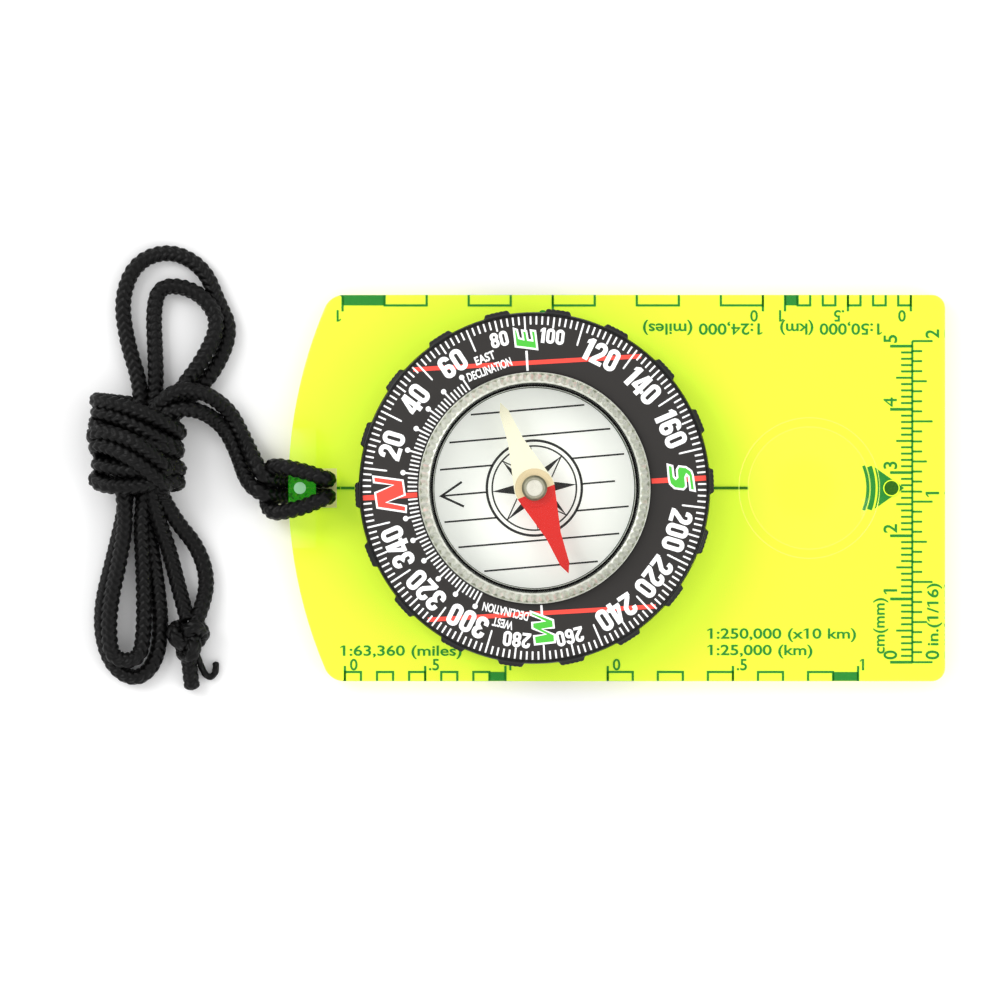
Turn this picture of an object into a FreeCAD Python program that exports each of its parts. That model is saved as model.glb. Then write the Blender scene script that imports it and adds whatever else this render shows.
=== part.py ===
import FreeCAD, Part

import math
import os

from FreeCAD import Vector

# Baseplate compass, in millimetres.  +Z is up, +X is the direction of travel, and the origin is on
# the underside, under the middle of the baseplate.

# ---------------------------------------------------------------- driving dimensions: baseplate
PLATE_LENGTH = 103.7
PLATE_WIDTH = 61.0
PLATE_THICKNESS = 3.5
REAR_EDGE_RADIUS = 73.0          # the rear edge is a shallow arc
REAR_CORNER_RADIUS = 3.3
FRONT_CORNER_RADIUS = 2.1
EDGE_ROUND = 0.3
HUB_X = -13.0                    # axis of the azimuth ring, the capsule and the needle
HUB_HOLE_RADIUS = 19.5

LENS_X = 30.4
LENS_RADIUS = 9.65
LENS_RISE = 1.7
LENS_MARGIN = 1.45               # flat moat around the dome
LENS_MOAT_DEPTH = 0.25

# The bar and the slot are sized for a cord of LAY_CORD, and grow with the cord.
BAR_WIDTH = 4.35                 # lanyard bar, between the rear edge and the slot
SLOT_LENGTH = 3.3
SLOT_WIDTH = 6.2
SLOT_CHAMFER = 0.6
BAR_RELIEF_WIDTH = 19.0          # hollow under the bar, so that the plate lies flat on the cord
BAR_RELIEF_AIR = 0.1             # air between the cord and the top of that hollow
PIP_RADIUS = 1.1
PIP_HEIGHT = 0.2
PIP_FROM_EDGE = 1.85
EJECTOR_MARK_FROM_FRONT = 8.35

# ---------------------------------------------------------------- driving dimensions: azimuth ring
RING_RADIUS = 27.65
RING_TOP_Z = 8.2
RING_LIP = 0.45                  # thin wall left outside the dial
GRIP_COUNT = 18
GRIP_RISE = 0.65
GRIP_ANGLE = 9.0
GRIP_START_ANGLE = 2.3
RIBS_PER_GRIP = 6
RIB_DEPTH = 0.22
RIB_RISE_SHARE = 0.25            # where a rib's crest starts and ends, and where its groove is,
RIB_FALL_SHARE = 0.6             # as shares of its width
RIB_GROOVE_SHARE = 0.95
TUBE_WALL = 2.4
LAND_WIDTH = 1.3                 # inner land of the ring, under the capsule's knurled rim
UNDERCUT_START_SHARE = 0.255     # where the undercut starts and ends, as shares of the width
UNDERCUT_END_SHARE = 0.74        # from the tube to the ring's outer wall
UNDERCUT_DEPTH = 2.0
DIAL_THICKNESS = 0.3
DIAL_RECESS = 0.8
TURN_CLEARANCE = 0.08            # running fit of the ring's tube in the plate
DIAL_CLEARANCE = 0.05

DRAG_WASHER_THICKNESS = 0.35
DRAG_WASHER_WIDTH = 1.7
WASHER_HEADROOM = 0.05
TUBE_STEP_HEADROOM = 0.1         # air between the capsule's flange and the ring's tube

RETAINER_THICKNESS = 1.0
RETAINER_OVERHANG = 1.6          # how far the retaining ring reaches under the plate
RETAINER_SEAT = 0.9
RETAINER_CLEARANCE = 0.2
RETAINER_LIFT = 0.3              # air under the retaining ring

# ---------------------------------------------------------------- driving dimensions: capsule
CAPSULE_CLEARANCE = 0.15
CAPSULE_WALL = 0.95
CAPSULE_TOP_Z = 10.6
WINDOW_THICKNESS = 1.0
KNURL_RADIUS = 18.2
KNURL_INNER_RADIUS = 16.5
KNURL_TEETH = 90
KNURL_DEPTH = 0.45
KNURL_HEIGHT = 1.8
KNURL_LIFT = 0.2
BASE_Z = 0.5
BASE_FLANGE_THICKNESS = 1.0
BASE_FLANGE_OVERHANG = 1.3
BASE_PLUG_HEIGHT = 1.0
BASE_PLUG_CLEARANCE = 0.1
GASKET_WIDTH = 0.6
GASKET_HEIGHT = 0.4
DRAG_GROOVE_DEPTH = 0.4
DRAG_RING_HEIGHT = 1.0
DRAG_RING_Z = 4.5
DRAG_RING_CLEARANCE = 0.05
BOSS_RADIUS = 2.0
BOSS_HEIGHT = 1.0

# ---------------------------------------------------------------- driving dimensions: needle
PIN_RADIUS = 0.6
PIN_SET_DEPTH = 0.8
PIN_CONE_HEIGHT = 1.6
PIN_POINT_Z = 6.4
POINT_GAP = 0.03
NEEDLE_ANGLE = -68.2             # where the red half points, from +X
NEEDLE_HALF_LENGTH = 14.5
NEEDLE_HUB_RADIUS = 3.2
NEEDLE_WAIST_WIDTH = 2.5
NEEDLE_WAIST_DISTANCE = 8.0      # from the hub's centre
NEEDLE_TIP_WIDTH = 1.5
NEEDLE_POINT_LENGTH = 1.6
NEEDLE_THICKNESS = 0.3
NEEDLE_Z = 6.0
CAP_RADIUS = 2.0
CAP_HEIGHT = 1.7
CAP_BELOW_NEEDLE = 0.3
CAP_FLANGE = 0.35
JEWEL_RADIUS = 1.3
JEWEL_HEIGHT = 1.35
JEWEL_CUP_RADIUS = 0.75
JEWEL_CUP_DEPTH = 0.45

# ---------------------------------------------------------------- driving dimensions: lanyard
CORD_DIAMETER = 2.4
LAY_CORD = 2.4                   # cord for which the lay below is drawn; the lay grows with the cord
ARC_SHARE = 0.45                 # share of the shorter run that a bend may use on each side
HANK_CENTRE = (-23.75, 5.65)     # from the middle of the plate's rear edge
HANK_WIDTH = 16.0
HANK_LENGTH = 18.9
HANK_HEIGHT = 9.3
HANK_ROUND = 2.6
KNOT_CENTRE = (-15.85, -23.8)
KNOT_SIZE = (7.0, 7.6, 5.6)
STUB_CURL_DIAMETER = 1.0

# Lengthwise, sideways and up, from the middle of the plate's rear edge at the underside.
HITCH_UPPER = [
    (-3.6, 0.0, 1.25), (-3.5, 2.4, 1.5), (-2.5, 3.6, 4.1), (0.6, 3.1, 4.95), (3.0, 2.5, 4.75),
    (6.3, 1.35, 4.8), (6.3, 1.35, 1.25), (3.0, 1.3, 1.25), (-0.4, 1.3, 1.3)]
HITCH_LOWER = [
    (-3.6, 0.0, 1.25), (-3.5, -2.6, 1.5), (-2.5, -4.0, 4.1), (0.6, -3.5, 4.95), (3.0, -2.8, 4.75),
    (6.3, -1.35, 4.8), (6.3, -1.35, 1.25), (3.0, -1.3, 1.25), (-0.4, -1.3, 1.3)]
LEAD_UPPER = [
    (-0.4, 1.3, 1.3), (-1.9, 1.2, 2.1), (-3.9, 1.6, 4.3), (-5.6, 5.0, 3.6), (-7.6, 9.0, 1.6),
    (-9.5, 12.5, 2.4), (-13.4, 15.3, 5.4), (-17.8, 15.6, 5.9), (-21.6, 11.8, 5.2)]
LEAD_LOWER = [
    (-0.4, -1.3, 1.3), (-1.9, -1.3, 2.1), (-4.1, -1.0, 4.3), (-6.6, 1.0, 3.2), (-8.1, 5.6, 1.5),
    (-10.3, 9.9, 1.9), (-14.1, 12.5, 5.0), (-18.4, 12.4, 5.6), (-22.4, 9.6, 5.2)]
TOP_LOOP_OUTER = [
    (-23.4, 9.5, 3.6), (-23.3, 16.1, 1.7), (-25.6, 23.2, 1.25), (-26.5, 30.0, 1.25),
    (-24.2, 35.8, 1.25), (-18.7, 37.7, 1.25), (-13.4, 34.9, 1.25), (-11.1, 29.3, 1.25),
    (-9.0, 24.9, 1.25), (-11.6, 18.5, 1.3), (-15.8, 14.1, 1.7), (-19.6, 9.6, 2.8)]
TOP_LOOP_INNER = [
    (-21.8, 8.6, 4.4), (-20.9, 15.1, 1.9), (-21.1, 21.5, 1.3), (-21.4, 28.0, 1.25),
    (-20.5, 31.8, 1.3), (-16.8, 32.0, 1.7), (-13.0, 30.0, 2.9), (-10.8, 25.9, 3.1),
    (-13.6, 20.0, 2.8), (-17.2, 15.4, 3.0), (-18.8, 10.6, 4.6)]
BOTTOM_LOOP_OUTER = [
    (-25.0, 2.5, 3.2), (-26.1, -4.5, 1.6), (-27.8, -11.4, 1.25), (-29.6, -18.4, 1.25),
    (-29.5, -24.1, 1.25), (-27.5, -28.7, 1.25), (-24.0, -30.4, 1.25), (-21.1, -27.8, 1.25),
    (-20.1, -22.6, 1.25), (-20.7, -15.6, 1.25), (-21.9, -8.4, 1.4), (-23.2, -1.5, 2.6)]
BOTTOM_LOOP_INNER = [
    (-26.4, 2.5, 5.2), (-25.5, -4.8, 3.8), (-26.6, -11.4, 3.4), (-27.9, -17.2, 3.3),
    (-28.4, -22.4, 3.3), (-27.8, -27.2, 3.2), (-23.4, -27.2, 2.8), (-22.8, -22.0, 2.5),
    (-22.8, -16.6, 2.5), (-23.0, -10.8, 2.7), (-23.3, -4.9, 3.3), (-22.0, 1.6, 4.4)]
TAIL_UPPER = [
    (-21.6, 1.2, 5.6), (-20.6, -4.6, 3.6), (-18.8, -10.0, 1.7), (-17.5, -15.4, 1.4),
    (-15.9, -21.0, 2.4)]
TAIL_LOWER = [
    (-20.4, -0.4, 4.4), (-17.6, -5.4, 2.8), (-14.6, -9.0, 1.5), (-12.9, -13.6, 1.25),
    (-13.3, -18.0, 1.5), (-15.0, -22.2, 2.6)]
STUB_STRAIGHT = [(-15.9, -25.0, 2.0), (-15.7, -28.6, 1.4), (-15.2, -32.0, 1.3)]
STUB_CURL = [
    (-14.6, -26.0, 1.6), (-13.6, -29.2, 0.9), (-12.4, -30.1, 0.6), (-11.4, -29.0, 0.6),
    (-11.6, -27.4, 0.7)]

# ---------------------------------------------------------------- worked-out places
REAR_X = -PLATE_LENGTH / 2
FRONT_X = PLATE_LENGTH / 2
UP = Vector(0, 0, 1)
UPRIGHT_TOLERANCE = 0.2
LEVEL_TOLERANCE = 0.01

LAY_SCALE = CORD_DIAMETER / LAY_CORD
SLOT_REAR_X = REAR_X + LAY_SCALE * BAR_WIDTH
SLOT_FRONT_X = SLOT_REAR_X + LAY_SCALE * SLOT_LENGTH
RELIEF_TOP_Z = CORD_DIAMETER + LAY_SCALE * BAR_RELIEF_AIR

TUBE_RADIUS = HUB_HOLE_RADIUS - TURN_CLEARANCE
BORE_RADIUS = TUBE_RADIUS - TUBE_WALL
LAND_RADIUS = BORE_RADIUS + LAND_WIDTH
RING_BOTTOM_Z = PLATE_THICKNESS + DRAG_WASHER_THICKNESS + WASHER_HEADROOM
DIAL_SEAT_Z = RING_TOP_Z - DIAL_RECESS
DIAL_RECESS_RADIUS = RING_RADIUS - RING_LIP

RETAINER_RADIUS = HUB_HOLE_RADIUS + RETAINER_OVERHANG
RETAINER_BORE = TUBE_RADIUS - RETAINER_SEAT
RETAINER_TOP_Z = RETAINER_LIFT + RETAINER_THICKNESS
COUNTERBORE_RADIUS = RETAINER_RADIUS + RETAINER_CLEARANCE
COUNTERBORE_DEPTH = RETAINER_TOP_Z + RETAINER_CLEARANCE

CAPSULE_RADIUS = BORE_RADIUS - CAPSULE_CLEARANCE
CHAMBER_RADIUS = CAPSULE_RADIUS - CAPSULE_WALL
BASE_TOP_Z = BASE_Z + BASE_FLANGE_THICKNESS
FLOOR_Z = BASE_TOP_Z + BASE_PLUG_HEIGHT
BASE_FLANGE_RADIUS = BORE_RADIUS + BASE_FLANGE_OVERHANG - CAPSULE_CLEARANCE
PLUG_RADIUS = CHAMBER_RADIUS - BASE_PLUG_CLEARANCE
KNURL_Z = RING_TOP_Z + KNURL_LIFT
WINDOW_UNDERSIDE_Z = CAPSULE_TOP_Z - WINDOW_THICKNESS
TUBE_STEP_Z = BASE_TOP_Z + TUBE_STEP_HEADROOM


def cylinder(radius, z_low, z_high, x=HUB_X):
    """A disc or post about a vertical axis."""
    return Part.makeCylinder(radius, z_high - z_low, Vector(x, 0, z_low), UP)


def annulus(inner_radius, outer_radius, z_low, z_high, x=HUB_X):
    """A flat ring about a vertical axis."""
    return cylinder(outer_radius, z_low, z_high, x).cut(cylinder(inner_radius, z_low, z_high, x))


def box(x_low, x_high, width, z_low, z_high):
    """A block centred on the plate's long axis."""
    corner = Vector(x_low, -width / 2, z_low)
    return Part.makeBox(x_high - x_low, width, z_high - z_low, corner)


def polar(radius, degrees, z=0.0, x=HUB_X):
    """A point at a radius and an angle about the hub axis."""
    angle = math.radians(degrees)
    return Vector(x + radius * math.cos(angle), radius * math.sin(angle), z)


def revolved(outline, x=HUB_X):
    """Turn a closed outline of (radius, height) points about a vertical axis."""
    points = [Vector(x + radius, 0, z) for radius, z in outline]
    face = Part.Face(Part.makePolygon(points + points[:1]))
    return face.revolve(Vector(x, 0, 0), UP, 360)


def vertical_edges(solid, x):
    """The upright edges of a solid at one lengthwise place."""
    found = []
    for edge in solid.Edges:
        low, high = edge.BoundBox.ZMin, edge.BoundBox.ZMax
        upright = edge.BoundBox.DiagonalLength - (high - low) < UPRIGHT_TOLERANCE
        if upright and abs(edge.BoundBox.Center.x - x) < UPRIGHT_TOLERANCE:
            found.append(edge)
    return found


def rim_edges(solid, z):
    """The edges that lie flat at one height."""
    found = []
    for edge in solid.Edges:
        away = max(abs(edge.BoundBox.ZMin - z), abs(edge.BoundBox.ZMax - z))
        if away < LEVEL_TOLERANCE:
            found.append(edge)
    return found


def plate_blank():
    """The plate's outline, extruded, with rounded corners and softened edges."""
    half_width = PLATE_WIDTH / 2
    arc_centre_x = REAR_X + REAR_EDGE_RADIUS
    corner_x = arc_centre_x - math.sqrt(REAR_EDGE_RADIUS ** 2 - half_width ** 2)
    rear_low = Vector(corner_x, -half_width, 0)
    rear_high = Vector(corner_x, half_width, 0)
    front_low = Vector(FRONT_X, -half_width, 0)
    front_high = Vector(FRONT_X, half_width, 0)
    edges = [
        Part.LineSegment(rear_low, front_low).toShape(),
        Part.LineSegment(front_low, front_high).toShape(),
        Part.LineSegment(front_high, rear_high).toShape(),
        Part.Arc(rear_high, Vector(REAR_X, 0, 0), rear_low).toShape(),
    ]
    blank = Part.Face(Part.Wire(edges)).extrude(Vector(0, 0, PLATE_THICKNESS))
    blank = blank.makeFillet(FRONT_CORNER_RADIUS, vertical_edges(blank, FRONT_X))
    blank = blank.makeFillet(REAR_CORNER_RADIUS, vertical_edges(blank, corner_x))
    return blank.makeFillet(EDGE_ROUND, rim_edges(blank, PLATE_THICKNESS) + rim_edges(blank, 0.0))


def lens_dome():
    """The magnifier: a spherical cap moulded on the plate."""
    seat_z = PLATE_THICKNESS - LENS_MOAT_DEPTH
    sphere_radius = (LENS_RADIUS ** 2 + LENS_RISE ** 2) / (2 * LENS_RISE)
    sphere = Part.makeSphere(sphere_radius, Vector(LENS_X, 0, seat_z + LENS_RISE - sphere_radius))
    return sphere.common(cylinder(LENS_RADIUS, PLATE_THICKNESS / 2, seat_z + LENS_RISE, LENS_X))


def baseplate():
    """Clear plate with the hub hole, magnifier, lanyard slot and bar."""
    plate = plate_blank()
    plate = plate.cut(cylinder(HUB_HOLE_RADIUS, 0, PLATE_THICKNESS))
    plate = plate.cut(cylinder(COUNTERBORE_RADIUS, 0, COUNTERBORE_DEPTH))
    moat_radius = LENS_RADIUS + LENS_MARGIN
    moat_z = PLATE_THICKNESS - LENS_MOAT_DEPTH
    plate = plate.cut(cylinder(moat_radius, moat_z, PLATE_THICKNESS, LENS_X))
    plate = plate.fuse(lens_dome())
    slot_width = LAY_SCALE * SLOT_WIDTH
    plate = plate.cut(box(SLOT_REAR_X, SLOT_FRONT_X, slot_width, 0, PLATE_THICKNESS))
    wedge_corners = [
        Vector(SLOT_FRONT_X, -slot_width / 2, PLATE_THICKNESS),
        Vector(SLOT_FRONT_X + SLOT_CHAMFER, -slot_width / 2, PLATE_THICKNESS),
        Vector(SLOT_FRONT_X, -slot_width / 2, PLATE_THICKNESS - SLOT_CHAMFER),
    ]
    wedge = Part.Face(Part.makePolygon(wedge_corners + wedge_corners[:1]))
    plate = plate.cut(wedge.extrude(Vector(0, slot_width, 0)))
    relief_width = LAY_SCALE * BAR_RELIEF_WIDTH
    plate = plate.cut(box(REAR_X - EDGE_ROUND, SLOT_REAR_X, relief_width, 0, RELIEF_TOP_Z))
    pip_x = REAR_X + PIP_FROM_EDGE
    pip = cylinder(PIP_RADIUS, RELIEF_TOP_Z + PIP_HEIGHT, PLATE_THICKNESS + PIP_HEIGHT, pip_x)
    plate = plate.fuse(pip)
    mark_x = FRONT_X - EJECTOR_MARK_FROM_FRONT
    plate = plate.cut(cylinder(PIP_RADIUS, 0, PIP_HEIGHT, mark_x))
    return plate.removeSplitter()


def grip_band():
    """The ring's outer band: smooth arcs between raised, finely ribbed grips."""
    pitch = 360.0 / GRIP_COUNT
    rib_angle = GRIP_ANGLE / RIBS_PER_GRIP
    crest = RING_RADIUS + GRIP_RISE
    edges = []
    for grip in range(GRIP_COUNT):
        middle = GRIP_START_ANGLE + grip * pitch
        start = middle - GRIP_ANGLE / 2
        outline = [polar(RING_RADIUS, start)]
        for rib in range(RIBS_PER_GRIP):
            outline.append(polar(crest, start + (rib + RIB_RISE_SHARE) * rib_angle))
            outline.append(polar(crest, start + (rib + RIB_FALL_SHARE) * rib_angle))
            if rib < RIBS_PER_GRIP - 1:
                groove = start + (rib + RIB_GROOVE_SHARE) * rib_angle
                outline.append(polar(crest - RIB_DEPTH, groove))
        outline.append(polar(RING_RADIUS, start + GRIP_ANGLE))
        edges += [Part.LineSegment(a, b).toShape() for a, b in zip(outline, outline[1:])]
        gap_end = start + pitch
        gap_middle = (start + GRIP_ANGLE + gap_end) / 2
        gap = Part.Arc(outline[-1], polar(RING_RADIUS, gap_middle), polar(RING_RADIUS, gap_end))
        edges.append(gap.toShape())
    band = Part.Face(Part.Wire(edges)).extrude(Vector(0, 0, RING_TOP_Z - RING_BOTTOM_Z))
    band.translate(Vector(0, 0, RING_BOTTOM_Z))
    return band.cut(cylinder(DIAL_RECESS_RADIUS, RING_BOTTOM_Z, RING_TOP_Z))


def azimuth_ring():
    """Turning bezel: ribbed band, dial recess and the tube that turns in the plate."""
    overhang = RING_RADIUS - TUBE_RADIUS
    undercut_low = TUBE_RADIUS + UNDERCUT_START_SHARE * overhang
    undercut_high = TUBE_RADIUS + UNDERCUT_END_SHARE * overhang
    undercut_z = RING_BOTTOM_Z + UNDERCUT_DEPTH
    core = revolved([
        (BORE_RADIUS, TUBE_STEP_Z),
        (RETAINER_BORE, TUBE_STEP_Z),
        (RETAINER_BORE, RETAINER_TOP_Z),
        (TUBE_RADIUS, RETAINER_TOP_Z),
        (TUBE_RADIUS, RING_BOTTOM_Z),
        (undercut_low, RING_BOTTOM_Z),
        (undercut_low, undercut_z),
        (undercut_high, undercut_z),
        (undercut_high, RING_BOTTOM_Z),
        (DIAL_RECESS_RADIUS, RING_BOTTOM_Z),
        (DIAL_RECESS_RADIUS, DIAL_SEAT_Z),
        (LAND_RADIUS, DIAL_SEAT_Z),
        (LAND_RADIUS, RING_TOP_Z),
        (BORE_RADIUS, RING_TOP_Z),
    ])
    return core.fuse(grip_band()).removeSplitter()


def dial():
    """Flat printed ring with the degree scale, in the bezel's recess."""
    inner = LAND_RADIUS + DIAL_CLEARANCE
    outer = DIAL_RECESS_RADIUS - DIAL_CLEARANCE
    return annulus(inner, outer, DIAL_SEAT_Z, DIAL_SEAT_Z + DIAL_THICKNESS)


def drag_washer():
    """Thin friction washer between the plate and the bezel."""
    inner = HUB_HOLE_RADIUS + TURN_CLEARANCE
    top = PLATE_THICKNESS + DRAG_WASHER_THICKNESS
    return annulus(inner, inner + DRAG_WASHER_WIDTH, PLATE_THICKNESS, top)


def retaining_ring():
    """Ring bonded to the end of the bezel's tube, which holds the bezel in the plate."""
    return annulus(RETAINER_BORE, RETAINER_RADIUS, RETAINER_LIFT, RETAINER_TOP_Z)


def knurled_rim():
    """The capsule's toothed rim, turned by hand to set the declination."""
    half_pitch = 180.0 / KNURL_TEETH
    points = []
    for step in range(2 * KNURL_TEETH):
        radius = KNURL_RADIUS - KNURL_DEPTH * (step % 2)
        points.append(polar(radius, step * half_pitch, KNURL_Z))
    face = Part.Face(Part.makePolygon(points + points[:1]))
    rim = face.extrude(Vector(0, 0, KNURL_HEIGHT))
    return rim.cut(cylinder(CHAMBER_RADIUS, KNURL_Z, KNURL_Z + KNURL_HEIGHT))


def capsule_top():
    """Clear cup of the liquid capsule, upside down, with window and rim in one piece."""
    cup = revolved([
        (0, WINDOW_UNDERSIDE_Z),
        (CHAMBER_RADIUS, WINDOW_UNDERSIDE_Z),
        (CHAMBER_RADIUS, BASE_TOP_Z),
        (CAPSULE_RADIUS, BASE_TOP_Z),
        (CAPSULE_RADIUS, DRAG_RING_Z),
        (CAPSULE_RADIUS - DRAG_GROOVE_DEPTH, DRAG_RING_Z),
        (CAPSULE_RADIUS - DRAG_GROOVE_DEPTH, DRAG_RING_Z + DRAG_RING_HEIGHT),
        (CAPSULE_RADIUS, DRAG_RING_Z + DRAG_RING_HEIGHT),
        (CAPSULE_RADIUS, KNURL_Z + KNURL_HEIGHT),
        (KNURL_INNER_RADIUS, CAPSULE_TOP_Z),
        (0, CAPSULE_TOP_Z),
    ])
    return cup.fuse(knurled_rim()).removeSplitter()


def capsule_drag_ring():
    """Rubber ring in the capsule's groove, which holds the declination setting."""
    inner = CAPSULE_RADIUS - DRAG_GROOVE_DEPTH
    outer = BORE_RADIUS - DRAG_RING_CLEARANCE
    return annulus(inner, outer, DRAG_RING_Z, DRAG_RING_Z + DRAG_RING_HEIGHT)


def gasket_heights():
    """Lower and upper height of the gasket's groove, half way up the plug."""
    low = BASE_TOP_Z + (BASE_PLUG_HEIGHT - GASKET_HEIGHT) / 2
    return low, low + GASKET_HEIGHT


def capsule_base():
    """Clear floor of the capsule, with its flange, plug and pivot boss."""
    low, high = gasket_heights()
    boss_top = FLOOR_Z + BOSS_HEIGHT
    floor = revolved([
        (0, BASE_Z),
        (BASE_FLANGE_RADIUS, BASE_Z),
        (BASE_FLANGE_RADIUS, BASE_TOP_Z),
        (PLUG_RADIUS, BASE_TOP_Z),
        (PLUG_RADIUS, low),
        (CHAMBER_RADIUS - GASKET_WIDTH, low),
        (CHAMBER_RADIUS - GASKET_WIDTH, high),
        (PLUG_RADIUS, high),
        (PLUG_RADIUS, FLOOR_Z),
        (BOSS_RADIUS, FLOOR_Z),
        (BOSS_RADIUS, boss_top),
        (0, boss_top),
    ])
    return floor.cut(cylinder(PIN_RADIUS, boss_top - PIN_SET_DEPTH, boss_top))


def capsule_gasket():
    """Sealing ring between the capsule's floor and its cup."""
    low, high = gasket_heights()
    return annulus(CHAMBER_RADIUS - GASKET_WIDTH, CHAMBER_RADIUS, low, high)


def pivot_pin():
    """Hardened pin that carries the needle on its point."""
    foot = FLOOR_Z + BOSS_HEIGHT - PIN_SET_DEPTH
    cone_foot = PIN_POINT_Z - PIN_CONE_HEIGHT
    return revolved([(0, foot), (PIN_RADIUS, foot), (PIN_RADIUS, cone_foot), (0, PIN_POINT_Z)])


def needle_blade():
    """Magnetised blade: a round hub with two arms that taper to blunt points."""
    half_tip = NEEDLE_TIP_WIDTH / 2
    half_waist = NEEDLE_WAIST_WIDTH / 2
    shoulder = NEEDLE_HALF_LENGTH - NEEDLE_POINT_LENGTH
    reach = math.hypot(NEEDLE_WAIST_DISTANCE, half_waist)
    lean = math.asin((NEEDLE_HUB_RADIUS - half_waist) / reach)
    root = (NEEDLE_HUB_RADIUS * math.sin(lean), NEEDLE_HUB_RADIUS * math.cos(lean))
    waist = (NEEDLE_WAIST_DISTANCE, half_waist)
    quarter = [root, waist, (shoulder, half_tip), (NEEDLE_HALF_LENGTH, 0)]
    half = quarter + [(x, -y) for x, y in reversed(quarter[:-1])]
    outline = half + [(-x, -y) for x, y in half]
    points = [Vector(HUB_X + x, y, NEEDLE_Z) for x, y in outline]
    blade = Part.Face(Part.makePolygon(points + points[:1])).extrude(UP * NEEDLE_THICKNESS)
    top = NEEDLE_Z + NEEDLE_THICKNESS
    blade = blade.fuse(cylinder(NEEDLE_HUB_RADIUS, NEEDLE_Z, top)).removeSplitter()
    blade = blade.cut(cylinder(CAP_RADIUS - CAP_FLANGE, NEEDLE_Z, top))
    blade.rotate(Vector(HUB_X, 0, 0), UP, NEEDLE_ANGLE)
    return blade


def needle_cap():
    """Metal cap set in the blade, with a shoulder on top of it."""
    waist = CAP_RADIUS - CAP_FLANGE
    shoulder_z = NEEDLE_Z + NEEDLE_THICKNESS
    foot = NEEDLE_Z - CAP_BELOW_NEEDLE
    return revolved([
        (JEWEL_RADIUS, foot),
        (waist, foot),
        (waist, shoulder_z),
        (CAP_RADIUS, shoulder_z),
        (CAP_RADIUS, foot + CAP_HEIGHT - CAP_FLANGE),
        (waist, foot + CAP_HEIGHT),
        (JEWEL_RADIUS, foot + CAP_HEIGHT),
    ])


def pivot_jewel():
    """Glass bearing in the cap, with a cone underneath for the pin's point."""
    cone_top = PIN_POINT_Z + POINT_GAP
    foot = cone_top - JEWEL_CUP_DEPTH
    return revolved([
        (0, cone_top),
        (JEWEL_CUP_RADIUS, foot),
        (JEWEL_RADIUS, foot),
        (JEWEL_RADIUS, foot + JEWEL_HEIGHT),
        (0, foot + JEWEL_HEIGHT),
    ])


def placed(route):
    """Grow a cord's points with the cord, and move them from the rear edge to the part's frame."""
    return [Vector(REAR_X, 0, 0) + Vector(x, y, z) * LAY_SCALE for x, y, z in route]


def rounded_path(name, points):
    """Straight runs joined by tangent arcs, each as large as its two runs allow."""
    edges = []
    radii = []
    start = points[0]
    for before, corner, after in zip(points, points[1:], points[2:]):
        incoming = (corner - before).normalize()
        outgoing = (after - corner).normalize()
        turn = incoming.getAngle(outgoing)
        reach = ARC_SHARE * min((corner - before).Length, (after - corner).Length)
        radius = reach / math.tan(turn / 2)
        radii.append(round(radius, 1))
        arc_start = corner - incoming * reach
        arc_end = corner + outgoing * reach
        inward = (outgoing - incoming).normalize()
        sagitta = radius / math.cos(turn / 2) - radius
        edges.append(Part.LineSegment(start, arc_start).toShape())
        edges.append(Part.Arc(arc_start, corner + inward * sagitta, arc_end).toShape())
        start = arc_end
    edges.append(Part.LineSegment(start, points[-1]).toShape())
    print(name, "bend radii", radii)
    return Part.Wire(edges)


def cord_tube(name, route, diameter=CORD_DIAMETER):
    """A plain round tube along a cord's route, checked against its section times its length."""
    points = placed(route)
    path = rounded_path(name, points)
    section = Part.Wire(Part.makeCircle(diameter / 2, points[0], points[1] - points[0]))
    tube = path.makePipeShell([section], True, False)
    expected = math.pi * diameter ** 2 / 4 * path.Length
    print(name, "length", round(path.Length, 1), "volume share", round(tube.Volume / expected, 3))
    return tube


def hank():
    """Outer shape of the cord's wound turns: an oval roll with rounded ends."""
    x, y = HANK_CENTRE
    length = LAY_SCALE * HANK_LENGTH
    half_width = LAY_SCALE * HANK_WIDTH / 2
    half_height = LAY_SCALE * HANK_HEIGHT / 2
    oval = Part.Ellipse(Vector(0, 0, 0), half_width, half_height).toShape()
    roll = Part.Face(Part.Wire(oval)).extrude(Vector(0, 0, length))
    ends = rim_edges(roll, 0.0) + rim_edges(roll, length)
    roll = roll.makeFillet(LAY_SCALE * HANK_ROUND, ends)
    roll.rotate(Vector(0, 0, 0), Vector(1, 0, 0), -90)
    roll.translate(placed([(x, y - HANK_LENGTH / 2, HANK_HEIGHT / 2)])[0])
    return roll


def end_knot():
    """Outer shape of the knot that joins the two ends of the cord."""
    x, y = KNOT_CENTRE
    ball = Part.makeSphere(1.0)
    stretch = FreeCAD.Matrix()
    stretch.scale(Vector(*KNOT_SIZE) * (LAY_SCALE / 2))
    ball = ball.transformGeometry(stretch)
    ball.translate(placed([(x, y, KNOT_SIZE[2] / 2)])[0])
    return ball


def trimmed(tube, *others):
    """A tube cut back to the faces of the solids that it runs into, as its largest piece."""
    for other in others:
        tube = tube.cut(other)
    return max(tube.Solids, key=lambda piece: piece.Volume)


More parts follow.
